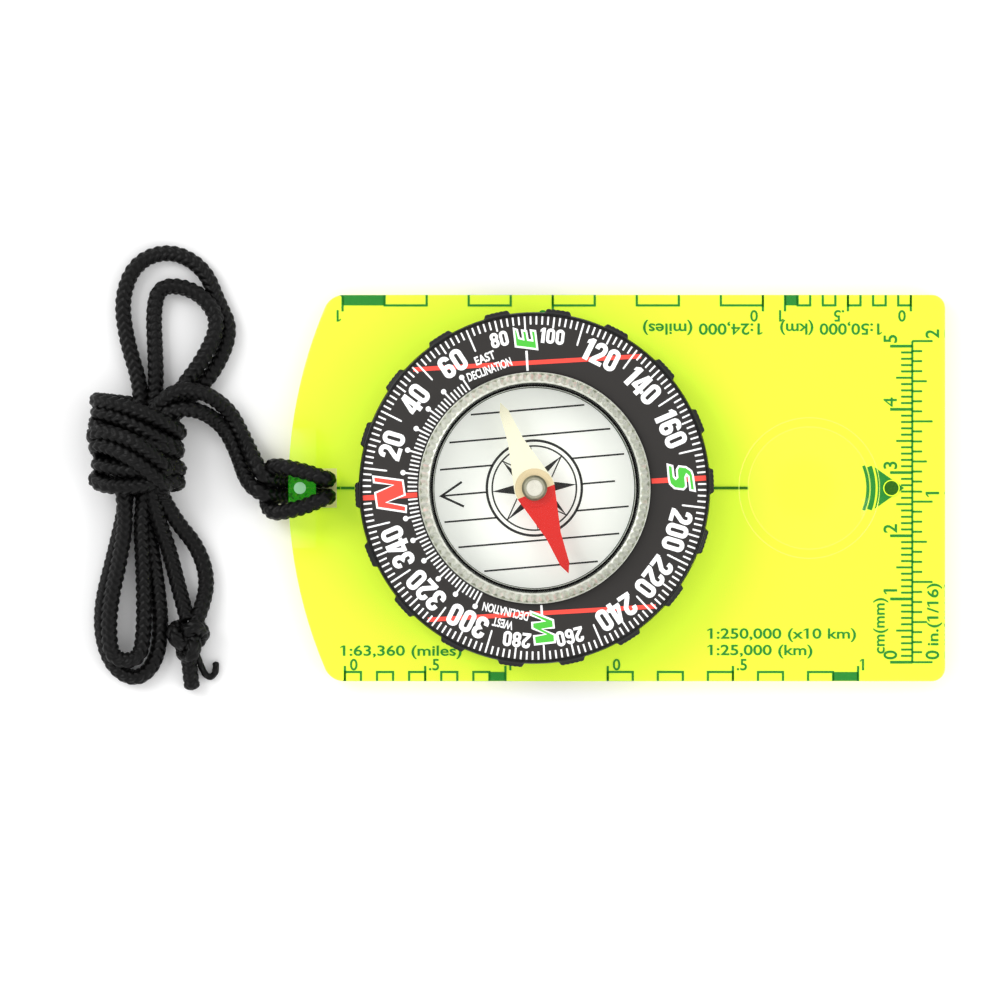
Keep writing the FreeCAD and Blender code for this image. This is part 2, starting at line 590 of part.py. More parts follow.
def build():
    """Every node of the compass, by name."""
    roll = hank()
    knot = end_knot()
    nodes = {
        "baseplate": baseplate(),
        "drag_washer": drag_washer(),
        "azimuth_ring": azimuth_ring(),
        "azimuth_dial": dial(),
        "retaining_ring": retaining_ring(),
        "capsule_top": capsule_top(),
        "capsule_base": capsule_base(),
        "capsule_gasket": capsule_gasket(),
        "capsule_drag_ring": capsule_drag_ring(),
        "pivot_pin": pivot_pin(),
        "needle_blade": needle_blade(),
        "needle_cap": needle_cap(),
        "pivot_jewel": pivot_jewel(),
        "lanyard_hank": roll,
        "lanyard_end_knot": knot,
    }
    free_tubes = {"hitch_upper": HITCH_UPPER, "hitch_lower": HITCH_LOWER}
    for name, route in free_tubes.items():
        nodes["lanyard_" + name] = cord_tube(name, route)
    hank_tubes = {
        "lead_upper": LEAD_UPPER,
        "lead_lower": LEAD_LOWER,
        "top_loop_outer": TOP_LOOP_OUTER,
        "top_loop_inner": TOP_LOOP_INNER,
        "bottom_loop_outer": BOTTOM_LOOP_OUTER,
        "bottom_loop_inner": BOTTOM_LOOP_INNER,
        "tail_upper": TAIL_UPPER,
        "tail_lower": TAIL_LOWER,
        "stub_straight": STUB_STRAIGHT,
    }
    for name, route in hank_tubes.items():
        nodes["lanyard_" + name] = trimmed(cord_tube(name, route), roll, knot)
    curl = cord_tube("stub_curl", STUB_CURL, LAY_SCALE * STUB_CURL_DIAMETER)
    nodes["lanyard_stub_curl"] = trimmed(curl, knot)
    return nodes


def main():
    """Write one STEP file for each node."""
    os.makedirs("parts", exist_ok=True)
    for name, shape in build().items():
        if not shape.isValid():
            raise ValueError(name + " is not a valid solid")
        shape.exportStep(os.path.join("parts", name + ".step"))


main()
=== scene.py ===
"""Looks of a baseplate compass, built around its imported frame.

Every length is written in millimetres and turned to metres once, when a mesh is made.  The frame
gives each piece its place: +X is the direction of travel, +Z is up, and the floor is at zero.
"""
import logging
import math
from dataclasses import dataclass, field
from enum import Enum

import bpy
import numpy as np
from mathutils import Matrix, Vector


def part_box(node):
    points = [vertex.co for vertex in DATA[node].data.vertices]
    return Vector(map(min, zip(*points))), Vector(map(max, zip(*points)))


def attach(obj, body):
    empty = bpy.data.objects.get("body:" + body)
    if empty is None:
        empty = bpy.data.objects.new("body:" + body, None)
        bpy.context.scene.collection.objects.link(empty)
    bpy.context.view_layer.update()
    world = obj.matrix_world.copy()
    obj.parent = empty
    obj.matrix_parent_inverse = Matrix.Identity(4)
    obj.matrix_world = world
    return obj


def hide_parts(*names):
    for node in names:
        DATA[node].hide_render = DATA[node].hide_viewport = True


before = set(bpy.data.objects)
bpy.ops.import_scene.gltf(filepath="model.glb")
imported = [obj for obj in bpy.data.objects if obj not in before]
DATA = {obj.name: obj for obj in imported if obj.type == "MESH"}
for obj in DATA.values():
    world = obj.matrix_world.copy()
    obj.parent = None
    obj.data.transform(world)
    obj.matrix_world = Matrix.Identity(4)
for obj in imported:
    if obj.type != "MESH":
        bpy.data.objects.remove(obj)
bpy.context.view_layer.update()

LOG = logging.getLogger("compass")
MM = 0.001


# ------------------------------------------------------------------------------- small helpers
def linear(code: str, alpha: float = 1.0) -> tuple[float, float, float, float]:
    """Turn an sRGB hex colour to linear light.

    Args:
        code: Six hex digits, with or without a leading hash.
        alpha: Opacity passed through unchanged.

    Returns:
        Red, green and blue as scene-linear values, and alpha.
    """
    parts = [int(code.lstrip("#")[i:i + 2], 16) / 255 for i in (0, 2, 4)]
    light = [c / 12.92 if c <= 0.04045 else ((c + 0.055) / 1.055) ** 2.4 for c in parts]
    return (light[0], light[1], light[2], alpha)


def hub_axis() -> tuple[float, float]:
    """Place of the needle's axis in millimetres, read from the pivot pin."""
    low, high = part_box("pivot_pin")
    return ((low.x + high.x) / 2 / MM, (low.y + high.y) / 2 / MM)


def span(node: str) -> tuple[np.ndarray, np.ndarray]:
    """Lowest and highest corner of a CAD node in millimetres."""
    low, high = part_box(node)
    return np.array(low) / MM, np.array(high) / MM


def turned(points: np.ndarray, degrees: float) -> np.ndarray:
    """Turn flat points about the origin, counter-clockwise from above."""
    c, s = math.cos(math.radians(degrees)), math.sin(math.radians(degrees))
    return np.asarray(points, float) @ np.array([[c, s], [-s, c]])


def circle(radius: float, count: int, start: float = 0.0, sweep: float = 360.0) -> np.ndarray:
    """Points on a circle or an arc: radius times the cosine and sine of each angle.

    Args:
        radius: Radius in millimetres.
        count: Number of points.
        start: First angle in degrees.
        sweep: Angle covered.  A full turn leaves out the repeated last point.

    Returns:
        An array of count flat points.
    """
    full = abs(sweep) >= 360.0
    angles = np.radians(start + sweep * np.arange(count) / (count if full else count - 1))
    return radius * np.column_stack([np.cos(angles), np.sin(angles)])


def new_object(name: str, verts: np.ndarray, faces: list, smooth: float | None = 35.0) -> bpy.types.Object:
    """Make a mesh object from millimetre vertices.

    Args:
        name: Name of the piece.
        verts: Vertex places in millimetres.
        faces: Faces as lists of vertex numbers.
        smooth: Edges sharper than this many degrees stay sharp; None leaves flat faces.

    Returns:
        The linked object, at the origin.
    """
    mesh = bpy.data.meshes.new(name)
    mesh.from_pydata((np.asarray(verts, float) * MM).tolist(), [], faces)
    mesh.update()
    if smooth is not None:
        mesh.shade_smooth()
        mesh.set_sharp_from_angle(angle=math.radians(smooth))
    piece = bpy.data.objects.new(name, mesh)
    bpy.context.scene.collection.objects.link(piece)
    return piece


def grid_faces(rows: int, columns: int, wrap_rows: bool, wrap_columns: bool) -> np.ndarray:
    """Quads of a grid whose point (i, j) is number i * columns + j."""
    i = np.arange(rows if wrap_rows else rows - 1)[:, None]
    j = np.arange(columns if wrap_columns else columns - 1)[None, :]
    i_next, j_next = (i + 1) % rows, (j + 1) % columns
    quads = [i * columns + j, i_next * columns + j, i_next * columns + j_next, i * columns + j_next]
    return np.stack(quads, axis=-1).reshape(-1, 4)


def lathe(name: str, profile: np.ndarray, count: int, ripple=None,
          centre: tuple[float, float] | None = None) -> bpy.types.Object:
    """A closed ring turned about an upright axis: each profile point (r, z) goes round a circle.

    Args:
        name: Name of the piece.
        profile: Closed outline of (radius, height) points, counter-clockwise with radius to the right.
        count: Number of places round the circle.
        ripple: Optional function of (angles, radii, heights) that gives the change of radius and
            the change of height.
        centre: Place of the axis; None takes the hub's.

    Returns:
        The linked object.
    """
    angles = np.arange(count) * 2 * math.pi / count
    radii, heights = np.asarray(profile, float).T
    theta, r = np.meshgrid(angles, radii, indexing="ij")
    z = np.broadcast_to(heights, r.shape)
    if ripple is not None:
        wider, higher = ripple(theta, r, z)
        r, z = r + wider, z + higher
    x, y = centre or hub_axis()
    verts = np.stack([x + r * np.cos(theta), y + r * np.sin(theta), z], axis=-1).reshape(-1, 3)
    return new_object(name, verts, grid_faces(count, len(radii), True, True).tolist())


def rounded(corners: list, radius: float, steps: int = 5) -> np.ndarray:
    """Round each corner of a closed outline by a short arc.

    Args:
        corners: Outline points.
        radius: Arc radius in millimetres.
        steps: Points on each arc.

    Returns:
        The outline with each corner replaced by a quadratic arc between its two tangent points,
        and a point just past each end of the arc, which keeps the flats beside it flat.
    """
    p = np.asarray(corners, float)
    before, after = np.roll(p, 1, axis=0) - p, np.roll(p, -1, axis=0) - p
    reach = np.minimum(np.linalg.norm(before, axis=1), np.linalg.norm(after, axis=1)) * 0.45
    reach = np.minimum(reach, radius)[:, None]
    start = p + before / np.linalg.norm(before, axis=1)[:, None] * reach
    end = p + after / np.linalg.norm(after, axis=1)[:, None] * reach
    t = np.linspace(0, 1, steps)[None, :, None]
    arcs = start[:, None] * (1 - t) ** 2 + 2 * p[:, None] * t * (1 - t) + end[:, None] * t ** 2
    held = [arcs[:, :1] * 1.2 - 0.2 * p[:, None], arcs, arcs[:, -1:] * 1.2 - 0.2 * p[:, None]]
    return np.concatenate(held, axis=1).reshape(-1, 2)


# ------------------------------------------------------------------------------- materials
def add(tree: bpy.types.NodeTree, kind: str, settings: dict | None = None, links: dict | None = None):
    """Add a node with its settings and links.

    Args:
        tree: Node tree that gets the node.
        kind: Blender's name for the node type.
        settings: Property or input names with their values.
        links: Input names or numbers with the sockets that feed them.

    Returns:
        The new node.
    """
    item = tree.nodes.new(kind)
    for key, value in (settings or {}).items():
        if isinstance(key, str) and hasattr(item, key):
            setattr(item, key, value)
        else:
            item.inputs[key].default_value = value
    for key, socket in (links or {}).items():
        tree.links.new(socket, item.inputs[key])
    return item


def blank(name: str) -> tuple[bpy.types.Material, bpy.types.NodeTree, bpy.types.Node]:
    """An empty node material, its tree and its output node."""
    material = bpy.data.materials.new(name)
    material.use_nodes = True
    tree = material.node_tree
    tree.nodes.clear()
    return material, tree, tree.nodes.new("ShaderNodeOutputMaterial")


def per_metre(size_mm: float) -> float:
    """Pattern scale, in repeats per metre, of a feature of this size in millimetres."""
    return 1.0 / (size_mm * MM)


@dataclass(frozen=True)
class MouldedAcrylic:
    """Clear acrylic, injection moulded and gate trimmed.

    Gives the eye clean refraction at rounded edges, faint flow lines, and for a fluorescent grade
    painted light: emission in a colour of its own, standing in for fluorescence, that lifts shaded places.
    """

    name: str
    tint: str
    shade: str
    glow: str = "#000000"
    glow_strength: float = 0.0
    roughness: float = 0.015
    flow_mm: float = 9.0
    flow_depth: float = 0.02
    veil: str = "#B4B4B4"

    def build(self) -> bpy.types.Material:
        """Make the material: bent light for the eye, straight tinted light for lamps."""
        material, tree, output = blank(self.name)
        place = add(tree, "ShaderNodeTexCoord")
        flow = add(tree, "ShaderNodeTexNoise", {"Scale": per_metre(self.flow_mm), "Detail": 1.0},
                   {"Vector": place.outputs["Object"]})
        bump = add(tree, "ShaderNodeBump", {"Strength": 0.15, "Distance": self.flow_depth * MM},
                   {"Height": flow.outputs["Fac"]})
        # The emission is painted light: the surface gives off light of its own and lifts its shaded places, though
        # it is no lamp.
        clear = add(tree, "ShaderNodeBsdfPrincipled", {
            "Base Color": linear(self.tint), "Roughness": self.roughness, "IOR": 1.49,
            "Transmission Weight": 1.0, "Specular Tint": linear(self.veil), "Emission Color": linear(self.glow),
            "Emission Strength": self.glow_strength}, {"Normal": bump.outputs["Normal"]})
        straight = add(tree, "ShaderNodeBsdfTransparent", {"Color": linear(self.shade)})
        path = add(tree, "ShaderNodeLightPath")
        lamps = add(tree, "ShaderNodeMath", {"operation": "MAXIMUM"},
                    {0: path.outputs["Is Shadow Ray"], 1: path.outputs["Is Diffuse Ray"]})
        mix = add(tree, "ShaderNodeMixShader", None,
                  {0: lamps.outputs[0], 1: clear.outputs[0], 2: straight.outputs[0]})
        tree.links.new(mix.outputs[0], output.inputs["Surface"])
        return material


@dataclass(frozen=True)
class MouldedPlastic:
    """ABS, injection moulded in a spark-eroded tool.

    Gives the eye an even satin with fine grain, and slightly smoother high spots.  A second colour
    mixes in by clouds: on most grades a tone that differs at random, on the toothed rim small white
    clouds at full share that are painted glints.  The mirror share stands for light that clear
    prisms turn back on themselves.
    """

    name: str
    colour: str
    worn: str
    roughness: float = 0.42
    grain_mm: float = 0.25
    grain_depth: float = 0.012
    cloud_mm: float = 14.0
    cloud_share: float = 0.35
    mirror: float = 0.0
    shine: float = 0.5

    def build(self) -> bpy.types.Material:
        """Make the material."""
        material, tree, output = blank(self.name)
        place = add(tree, "ShaderNodeTexCoord")
        cloud = add(tree, "ShaderNodeTexNoise", {"Scale": per_metre(self.cloud_mm), "Detail": 3.0},
                    {"Vector": place.outputs["Object"]})
        grain = add(tree, "ShaderNodeTexNoise", {"Scale": per_metre(self.grain_mm), "Detail": 2.0},
                    {"Vector": place.outputs["Object"]})
        # Cloud mix of the second colour: random tone, and where its share is full and its clouds small, painted
        # glints.
        colour = add(tree, "ShaderNodeMix", {
            "data_type": "RGBA", 6: linear(self.colour), 7: linear(self.worn)},
            {0: add(tree, "ShaderNodeMath", {"operation": "MULTIPLY", 1: self.cloud_share},
                    {0: cloud.outputs["Fac"]}).outputs[0]})
        rough = add(tree, "ShaderNodeMapRange", {
            "To Min": self.roughness - 0.06, "To Max": self.roughness + 0.08},
            {"Value": grain.outputs["Fac"]})
        bump = add(tree, "ShaderNodeBump", {"Strength": 0.35, "Distance": self.grain_depth * MM},
                   {"Height": grain.outputs["Fac"]})
        surface = add(tree, "ShaderNodeBsdfPrincipled", {
            "Metallic": self.mirror, "Specular IOR Level": self.shine}, {
            "Base Color": colour.outputs[2], "Roughness": rough.outputs[0],
            "Normal": bump.outputs["Normal"]})
        tree.links.new(surface.outputs[0], output.inputs["Surface"])
        return material


@dataclass(frozen=True)
class ScreenInk:
    """Screen-printed ink.

    Gives the eye flat, dense colour with the slight mottle of a mesh, and a soft gloss.  Emission in
    the ink's own colour, when its strength is above zero, is painted light that lifts the ink.
    """

    name: str
    colour: str
    thin: str
    mottle_mm: float = 0.35
    roughness: float = 0.5
    glow_strength: float = 0.0

    def build(self) -> bpy.types.Material:
        """Make the material."""
        material, tree, output = blank(self.name)
        place = add(tree, "ShaderNodeTexCoord")
        mottle = add(tree, "ShaderNodeTexNoise", {"Scale": per_metre(self.mottle_mm), "Detail": 2.0},
                     {"Vector": place.outputs["Object"]})
        share = add(tree, "ShaderNodeMath", {"operation": "MULTIPLY", 1: 0.3},
                    {0: mottle.outputs["Fac"]})
        colour = add(tree, "ShaderNodeMix", {
            "data_type": "RGBA", 6: linear(self.colour), 7: linear(self.thin)},
            {0: share.outputs[0]})
        # Emission in the ink colour is painted light, not a lamp.
        surface = add(tree, "ShaderNodeBsdfPrincipled", {
            "Roughness": self.roughness, "Emission Color": linear(self.colour),
            "Emission Strength": self.glow_strength}, {"Base Color": colour.outputs[2]})
        tree.links.new(surface.outputs[0], output.inputs["Surface"])
        return material


@dataclass(frozen=True)
class TurnedMetal:
    """Metal turned or ground on a lathe.

    Gives the eye fine rings round the axis and a clear highlight that runs across them.
    """

    name: str
    colour: str
    dull: str
    roughness: float = 0.28
    ring_mm: float = 0.12

    def build(self) -> bpy.types.Material:
        """Make the material: rings are a wave of the distance from the hub's axis."""
        material, tree, output = blank(self.name)
        place = add(tree, "ShaderNodeTexCoord")
        x, y = hub_axis()
        centred = add(tree, "ShaderNodeMapping", {"Location": (-x * MM, -y * MM, 0.0)},
                      {"Vector": place.outputs["Object"]})
        rings = add(tree, "ShaderNodeTexWave", {
            "wave_type": "RINGS", "rings_direction": "Z", "Scale": per_metre(self.ring_mm) / 20,
            "Distortion": 0.6}, {"Vector": centred.outputs[0]})
        colour = add(tree, "ShaderNodeMix", {
            "data_type": "RGBA", 6: linear(self.colour), 7: linear(self.dull)},
            {0: rings.outputs["Fac"]})
        bump = add(tree, "ShaderNodeBump", {"Strength": 0.2, "Distance": 0.01 * MM},
                   {"Height": rings.outputs["Fac"]})
        surface = add(tree, "ShaderNodeBsdfPrincipled", {
            "Metallic": 1.0, "Roughness": self.roughness},
            {"Base Color": colour.outputs[2], "Normal": bump.outputs["Normal"]})
        tree.links.new(surface.outputs[0], output.inputs["Surface"])
        return material


@dataclass(frozen=True)
class NeedlePaint:
    """Two enamels sprayed on a steel blade.

    Gives the eye a hard line between red and cream, and a tan seat round the cap.
    """

    name: str = "needle_enamel"
    red: str = "#DC1509"
    cream: str = "#F8F4DA"
    tan: str = "#EAD6AC"
    heading: float = -68.2
    border: float = 0.65
    tan_radius: float = 3.0

    def build(self) -> bpy.types.Material:
        """Make the material: red where a point lies further along the heading than the border."""
        material, tree, output = blank(self.name)
        x, y = hub_axis()
        place = add(tree, "ShaderNodeTexCoord")
        centred = add(tree, "ShaderNodeMapping", {
            "Location": (-x * MM, -y * MM, 0.0), "Scale": (1.0, 1.0, 0.0)},
                      {"Vector": place.outputs["Object"]})
        angle = math.radians(self.heading)
        along = add(tree, "ShaderNodeVectorMath", {
            "operation": "DOT_PRODUCT", 1: (math.cos(angle), math.sin(angle), 0.0)},
            {0: centred.outputs[0]})
        is_red = add(tree, "ShaderNodeMath", {"operation": "GREATER_THAN", 1: self.border * MM},
                     {0: along.outputs["Value"]})
        away = add(tree, "ShaderNodeVectorMath", {"operation": "LENGTH"}, {0: centred.outputs[0]})
        seat = add(tree, "ShaderNodeMapRange", {
            "From Min": self.tan_radius * MM, "From Max": (self.tan_radius + 0.15) * MM,
            "To Min": 1.0, "To Max": 0.0}, {"Value": away.outputs["Value"]})
        light = add(tree, "ShaderNodeMix", {
            "data_type": "RGBA", 6: linear(self.cream), 7: linear(self.tan)}, {0: seat.outputs[0]})
        colour = add(tree, "ShaderNodeMix", {"data_type": "RGBA", 7: linear(self.red)},
                     {0: is_red.outputs[0], 6: light.outputs[2]})
        peel = add(tree, "ShaderNodeTexNoise", {"Scale": per_metre(0.6), "Detail": 1.0},
                   {"Vector": place.outputs["Object"]})
        bump = add(tree, "ShaderNodeBump", {"Strength": 0.15, "Distance": 0.01 * MM},
                   {"Height": peel.outputs["Fac"]})
        surface = add(tree, "ShaderNodeBsdfPrincipled", {"Roughness": 0.38},
                      {"Base Color": colour.outputs[2], "Normal": bump.outputs["Normal"]})
        tree.links.new(surface.outputs[0], output.inputs["Surface"])
        return material


@dataclass(frozen=True)
class BraidedNylon:
    """Nylon yarn, spun dyed black and braided over a core.

    Gives the eye rows of small plaits with fine filaments across them, each plait with a soft
    glint on its crown, and painted shade: near-black colour down between the plaits.
    """

    name: str = "braided_nylon"
    crown: str = "#181717"
    # The gap colour is painted shade down between the plaits.
    gap: str = "#010101"
    roughness: float = 0.4
    filament_mm: float = 0.11

    def build(self) -> bpy.types.Material:
        """Make the material: the mesh's plait height picks the crown colour or the near-black painted shade between
        plaits, filaments are a wave.
        """
        material, tree, output = blank(self.name)
        height = add(tree, "ShaderNodeAttribute", {"attribute_name": "plait_height"})
        lay = add(tree, "ShaderNodeUVMap", {"uv_map": "lay"})
        filaments = add(tree, "ShaderNodeTexWave", {
            "wave_type": "BANDS", "bands_direction": "DIAGONAL",
            "Scale": per_metre(self.filament_mm) / 20, "Distortion": 1.2, "Detail": 1.0},
            {"Vector": lay.outputs[0]})
        speck = add(tree, "ShaderNodeTexNoise", {"Scale": per_metre(0.5), "Detail": 2.0},
                    {"Vector": lay.outputs[0]})
        shade = add(tree, "ShaderNodeMath", {"operation": "MULTIPLY"},
                    {0: height.outputs["Fac"], 1: speck.outputs["Fac"]})
        # Low plait height gives the gap colour: painted shade between the plaits.
        colour = add(tree, "ShaderNodeMix", {
            "data_type": "RGBA", 6: linear(self.gap), 7: linear(self.crown)}, {0: shade.outputs[0]})
        bump = add(tree, "ShaderNodeBump", {"Strength": 0.5, "Distance": 0.04 * MM},
                   {"Height": filaments.outputs["Fac"]})
        surface = add(tree, "ShaderNodeBsdfPrincipled", {
            "Roughness": self.roughness, "Specular IOR Level": 0.16},
            {"Base Color": colour.outputs[2], "Normal": bump.outputs["Normal"]})
        tree.links.new(surface.outputs[0], output.inputs["Surface"])
        return material


def dress(piece: bpy.types.Object, material: bpy.types.Material) -> None:
    """Give a piece one material on all its faces."""
    piece.data.materials.clear()
    piece.data.materials.append(material)


# ------------------------------------------------------------------------------- printed artwork
class Artwork:
    """Thin closed shapes of printed ink, gathered into one mesh for each colour."""

    def __init__(self, low: float, high: float) -> None:
        """Start empty, between two heights in millimetres."""
        self.low = low
        self.high = high
        self.verts: list = []
        self.faces: list = []
        self.count = 0

    def take(self, verts: np.ndarray, faces: list) -> None:
        """Add vertices and faces, numbering the faces on from what is there."""
        self.verts.append(verts)
        self.faces += [[corner + self.count for corner in face] for face in faces]
        self.count += len(verts)

    def prism(self, outline: np.ndarray) -> None:
        """A filled shape: its outline at the lower and the upper height, joined by walls."""
        flat = np.asarray(outline, float)
        area = np.sum(flat[:, 0] * np.roll(flat[:, 1], -1) - np.roll(flat[:, 0], -1) * flat[:, 1])
        flat = flat if area > 0 else flat[::-1]
        n = len(flat)
        verts = np.vstack([np.column_stack([flat, np.full(n, z)]) for z in (self.low, self.high)])
        ring = np.arange(n)
        walls = np.column_stack([ring, (ring + 1) % n, (ring + 1) % n + n, ring + n])
        self.take(verts, [ring[::-1].tolist(), (ring + n).tolist()] + walls.tolist())

    def bars(self, starts: np.ndarray, ends: np.ndarray, width: float) -> None:
        """Straight strokes: each one a box from its start to its end, half its width each side."""
        starts, ends = np.atleast_2d(starts).astype(float), np.atleast_2d(ends).astype(float)
        along = ends - starts
        along /= np.linalg.norm(along, axis=1)[:, None]
        side = np.column_stack([-along[:, 1], along[:, 0]]) * width / 2
        flat = np.stack([starts - side, ends - side, ends + side, starts + side], axis=1)
        heights = [np.full(flat.shape[:2], z) for z in (self.low, self.high)]
        layers = [np.concatenate([flat, z[..., None]], axis=2) for z in heights]
        verts = np.concatenate(layers, axis=1).reshape(-1, 3)
        box = np.array([[3, 2, 1, 0], [4, 5, 6, 7], [0, 1, 5, 4], [1, 2, 6, 5], [2, 3, 7, 6], [3, 0, 4, 7]])
        faces = (box[None] + 8 * np.arange(len(starts))[:, None, None]).reshape(-1, 4)
        self.take(verts, faces.tolist())

    def ribbon(self, points: np.ndarray, width: float, closed: bool) -> None:
        """A stroke of even width along a line, with mitred corners.

        Args:
            points: Flat points of the line.
            width: Stroke width in millimetres.
            closed: Whether the last point joins the first.
        """
        p = np.asarray(points, float)
        runs = np.roll(p, -1, axis=0) - p
        if not closed:
            runs[-1] = runs[-2]
        runs /= np.linalg.norm(runs, axis=1)[:, None]
        earlier = np.roll(runs, 1, axis=0)
        if not closed:
            earlier[0] = runs[0]
        normal = np.column_stack([-runs[:, 1], runs[:, 0]])
        earlier_normal = np.column_stack([-earlier[:, 1], earlier[:, 0]])
        mitre = normal + earlier_normal
        mitre /= np.maximum(np.sum(mitre * normal, axis=1), 0.5)[:, None]
        left, right = p + mitre * width / 2, p - mitre * width / 2
        n = len(p)
        corners = [(right, self.low), (left, self.low), (left, self.high), (right, self.high)]
        section = [np.column_stack([side, np.full(n, z)]) for side, z in corners]
        verts = np.stack(section, axis=1).reshape(-1, 3)
        faces = grid_faces(n, 4, closed, True)[:, ::-1].tolist()
        if not closed:
            last = 4 * (n - 1)
            faces += [[3, 2, 1, 0], [last, last + 1, last + 2, last + 3]]
        self.take(verts, faces)

    def letters(self, text: str, height: float, at: tuple[float, float], heading: float,
                length: float | None = None, bold: float = 0.0, middle: bool = True) -> None:
        """Set a line of type.

        Args:
            text: Words to set.
            height: Height of a figure in millimetres.
            at: Where the baseline's middle, or its start, goes.
            heading: Direction in which the line reads, in degrees from +X.
            length: Full length of the line; None keeps the type's own width.
            bold: Extra weight on each side of a stroke, as a share of the height.
            middle: Whether at is the middle of the line.
        """
        verts, faces = TYPE.set_line(text, bold)
        flat = verts[:, :2] * height
        left, right = flat[:, 0].min(), flat[:, 0].max()
        if length is not None:
            flat[:, 0] *= length / (right - left)
            left, right = flat[:, 0].min(), flat[:, 0].max()
        flat[:, 0] -= (left + right) / 2 if middle else left
        flat = turned(flat, heading) + np.array(at)
        z = np.where(verts[:, 2] > 0, self.high, self.low)
        self.take(np.column_stack([flat, z]), faces)

    def figures(self, text: str, height: float, digit: float, at: np.ndarray, heading: float) -> None:
        """Set bold condensed figures from even strokes.

        Args:
            text: Figures to set.
            height: Height in millimetres.
            digit: Width of a figure; a one is narrower.
            at: Middle of the baseline.
            heading: Direction in which the line reads, in degrees from +X.
        """
        widths = [digit * (0.66 if figure == "1" else 1.0) for figure in text]
        gap = digit * 0.05
        pen = -(sum(widths) + gap * (len(text) - 1)) / 2
        for figure, width in zip(text, widths):
            scale = np.array([digit / 0.5, height])
            for layer, (points, closed, stroke) in enumerate(FIGURES[figure]):
                flat = turned(points * scale + [pen, 0.0], heading) + at
                self.high += 0.003 * layer
                if stroke:
                    self.ribbon(flat, 0.2 * height, closed)
                else:
                    self.prism(flat)
                self.high -= 0.003 * layer
            pen += width + gap

    def mesh(self, name: str) -> bpy.types.Object:
        """Make the gathered shapes one flat-faced object."""
        return new_object(name, np.vstack(self.verts), self.faces, smooth=None)


def bowl(low: float, high: float) -> np.ndarray:
    """Closed centre line of a figure's bowl, between two heights of its round ends' centres."""
    return np.vstack([circle(0.15, 9, 0, 180) + [0.25, high], circle(0.15, 9, 180, 180) + [0.25, low]])


def figure_shapes() -> dict[str, list]:
    """Shapes of the dial's figures, one unit high and half a unit wide.

    Returns:
        For each figure its shapes, each as points, whether it is closed, and whether it is a
        stroke's centre line instead of a filled outline.
    """
    hook = np.vstack([[(0.1, 0.66)], circle(0.15, 9, 180, -180) + [0.25, 0.75], [(0.4, 0.66)]])
    foot = np.vstack([[(0.4, 0.34)], circle(0.15, 9, 0, -180) + [0.25, 0.25], [(0.1, 0.34)]])
    neck = np.array([(0.36, 0.55), (0.22, 0.515), (0.36, 0.48)])
    return {
        "0": [(bowl(0.25, 0.75), True, True)],
        "1": [(np.array([(0.1, 0), (0.3, 0), (0.3, 1), (0.16, 1), (0.02, 0.86), (0.02, 0.7), (0.1, 0.75)]), True, False)],
        "2": [(np.vstack([hook, [(0.38, 0.56), (0.13, 0.2), (0.11, 0.1)]]), False, True),
              (np.array([(0.01, 0), (0.49, 0), (0.49, 0.18), (0.01, 0.18)]), True, False)],
        "3": [(np.vstack([hook, neck, foot]), False, True)],
        "4": [(np.array([(0.25, 0), (0.44, 0), (0.44, 1), (0.25, 1)]), True, False),
              (np.array([(0.0, 0.18), (0.52, 0.18), (0.52, 0.35), (0.0, 0.35)]), True, False),
              (np.array([(0.0, 0.33), (0.17, 0.33), (0.33, 1.0), (0.22, 1.0)]), True, False)],
        "6": [(bowl(0.25, 0.36), True, True), (np.vstack([[(0.1, 0.3)], hook[1:-1], [(0.4, 0.73)]]), False, True)],
        "8": [(bowl(0.25, 0.35), True, True), (bowl(0.67, 0.75), True, True)],
    }


FIGURES = figure_shapes()


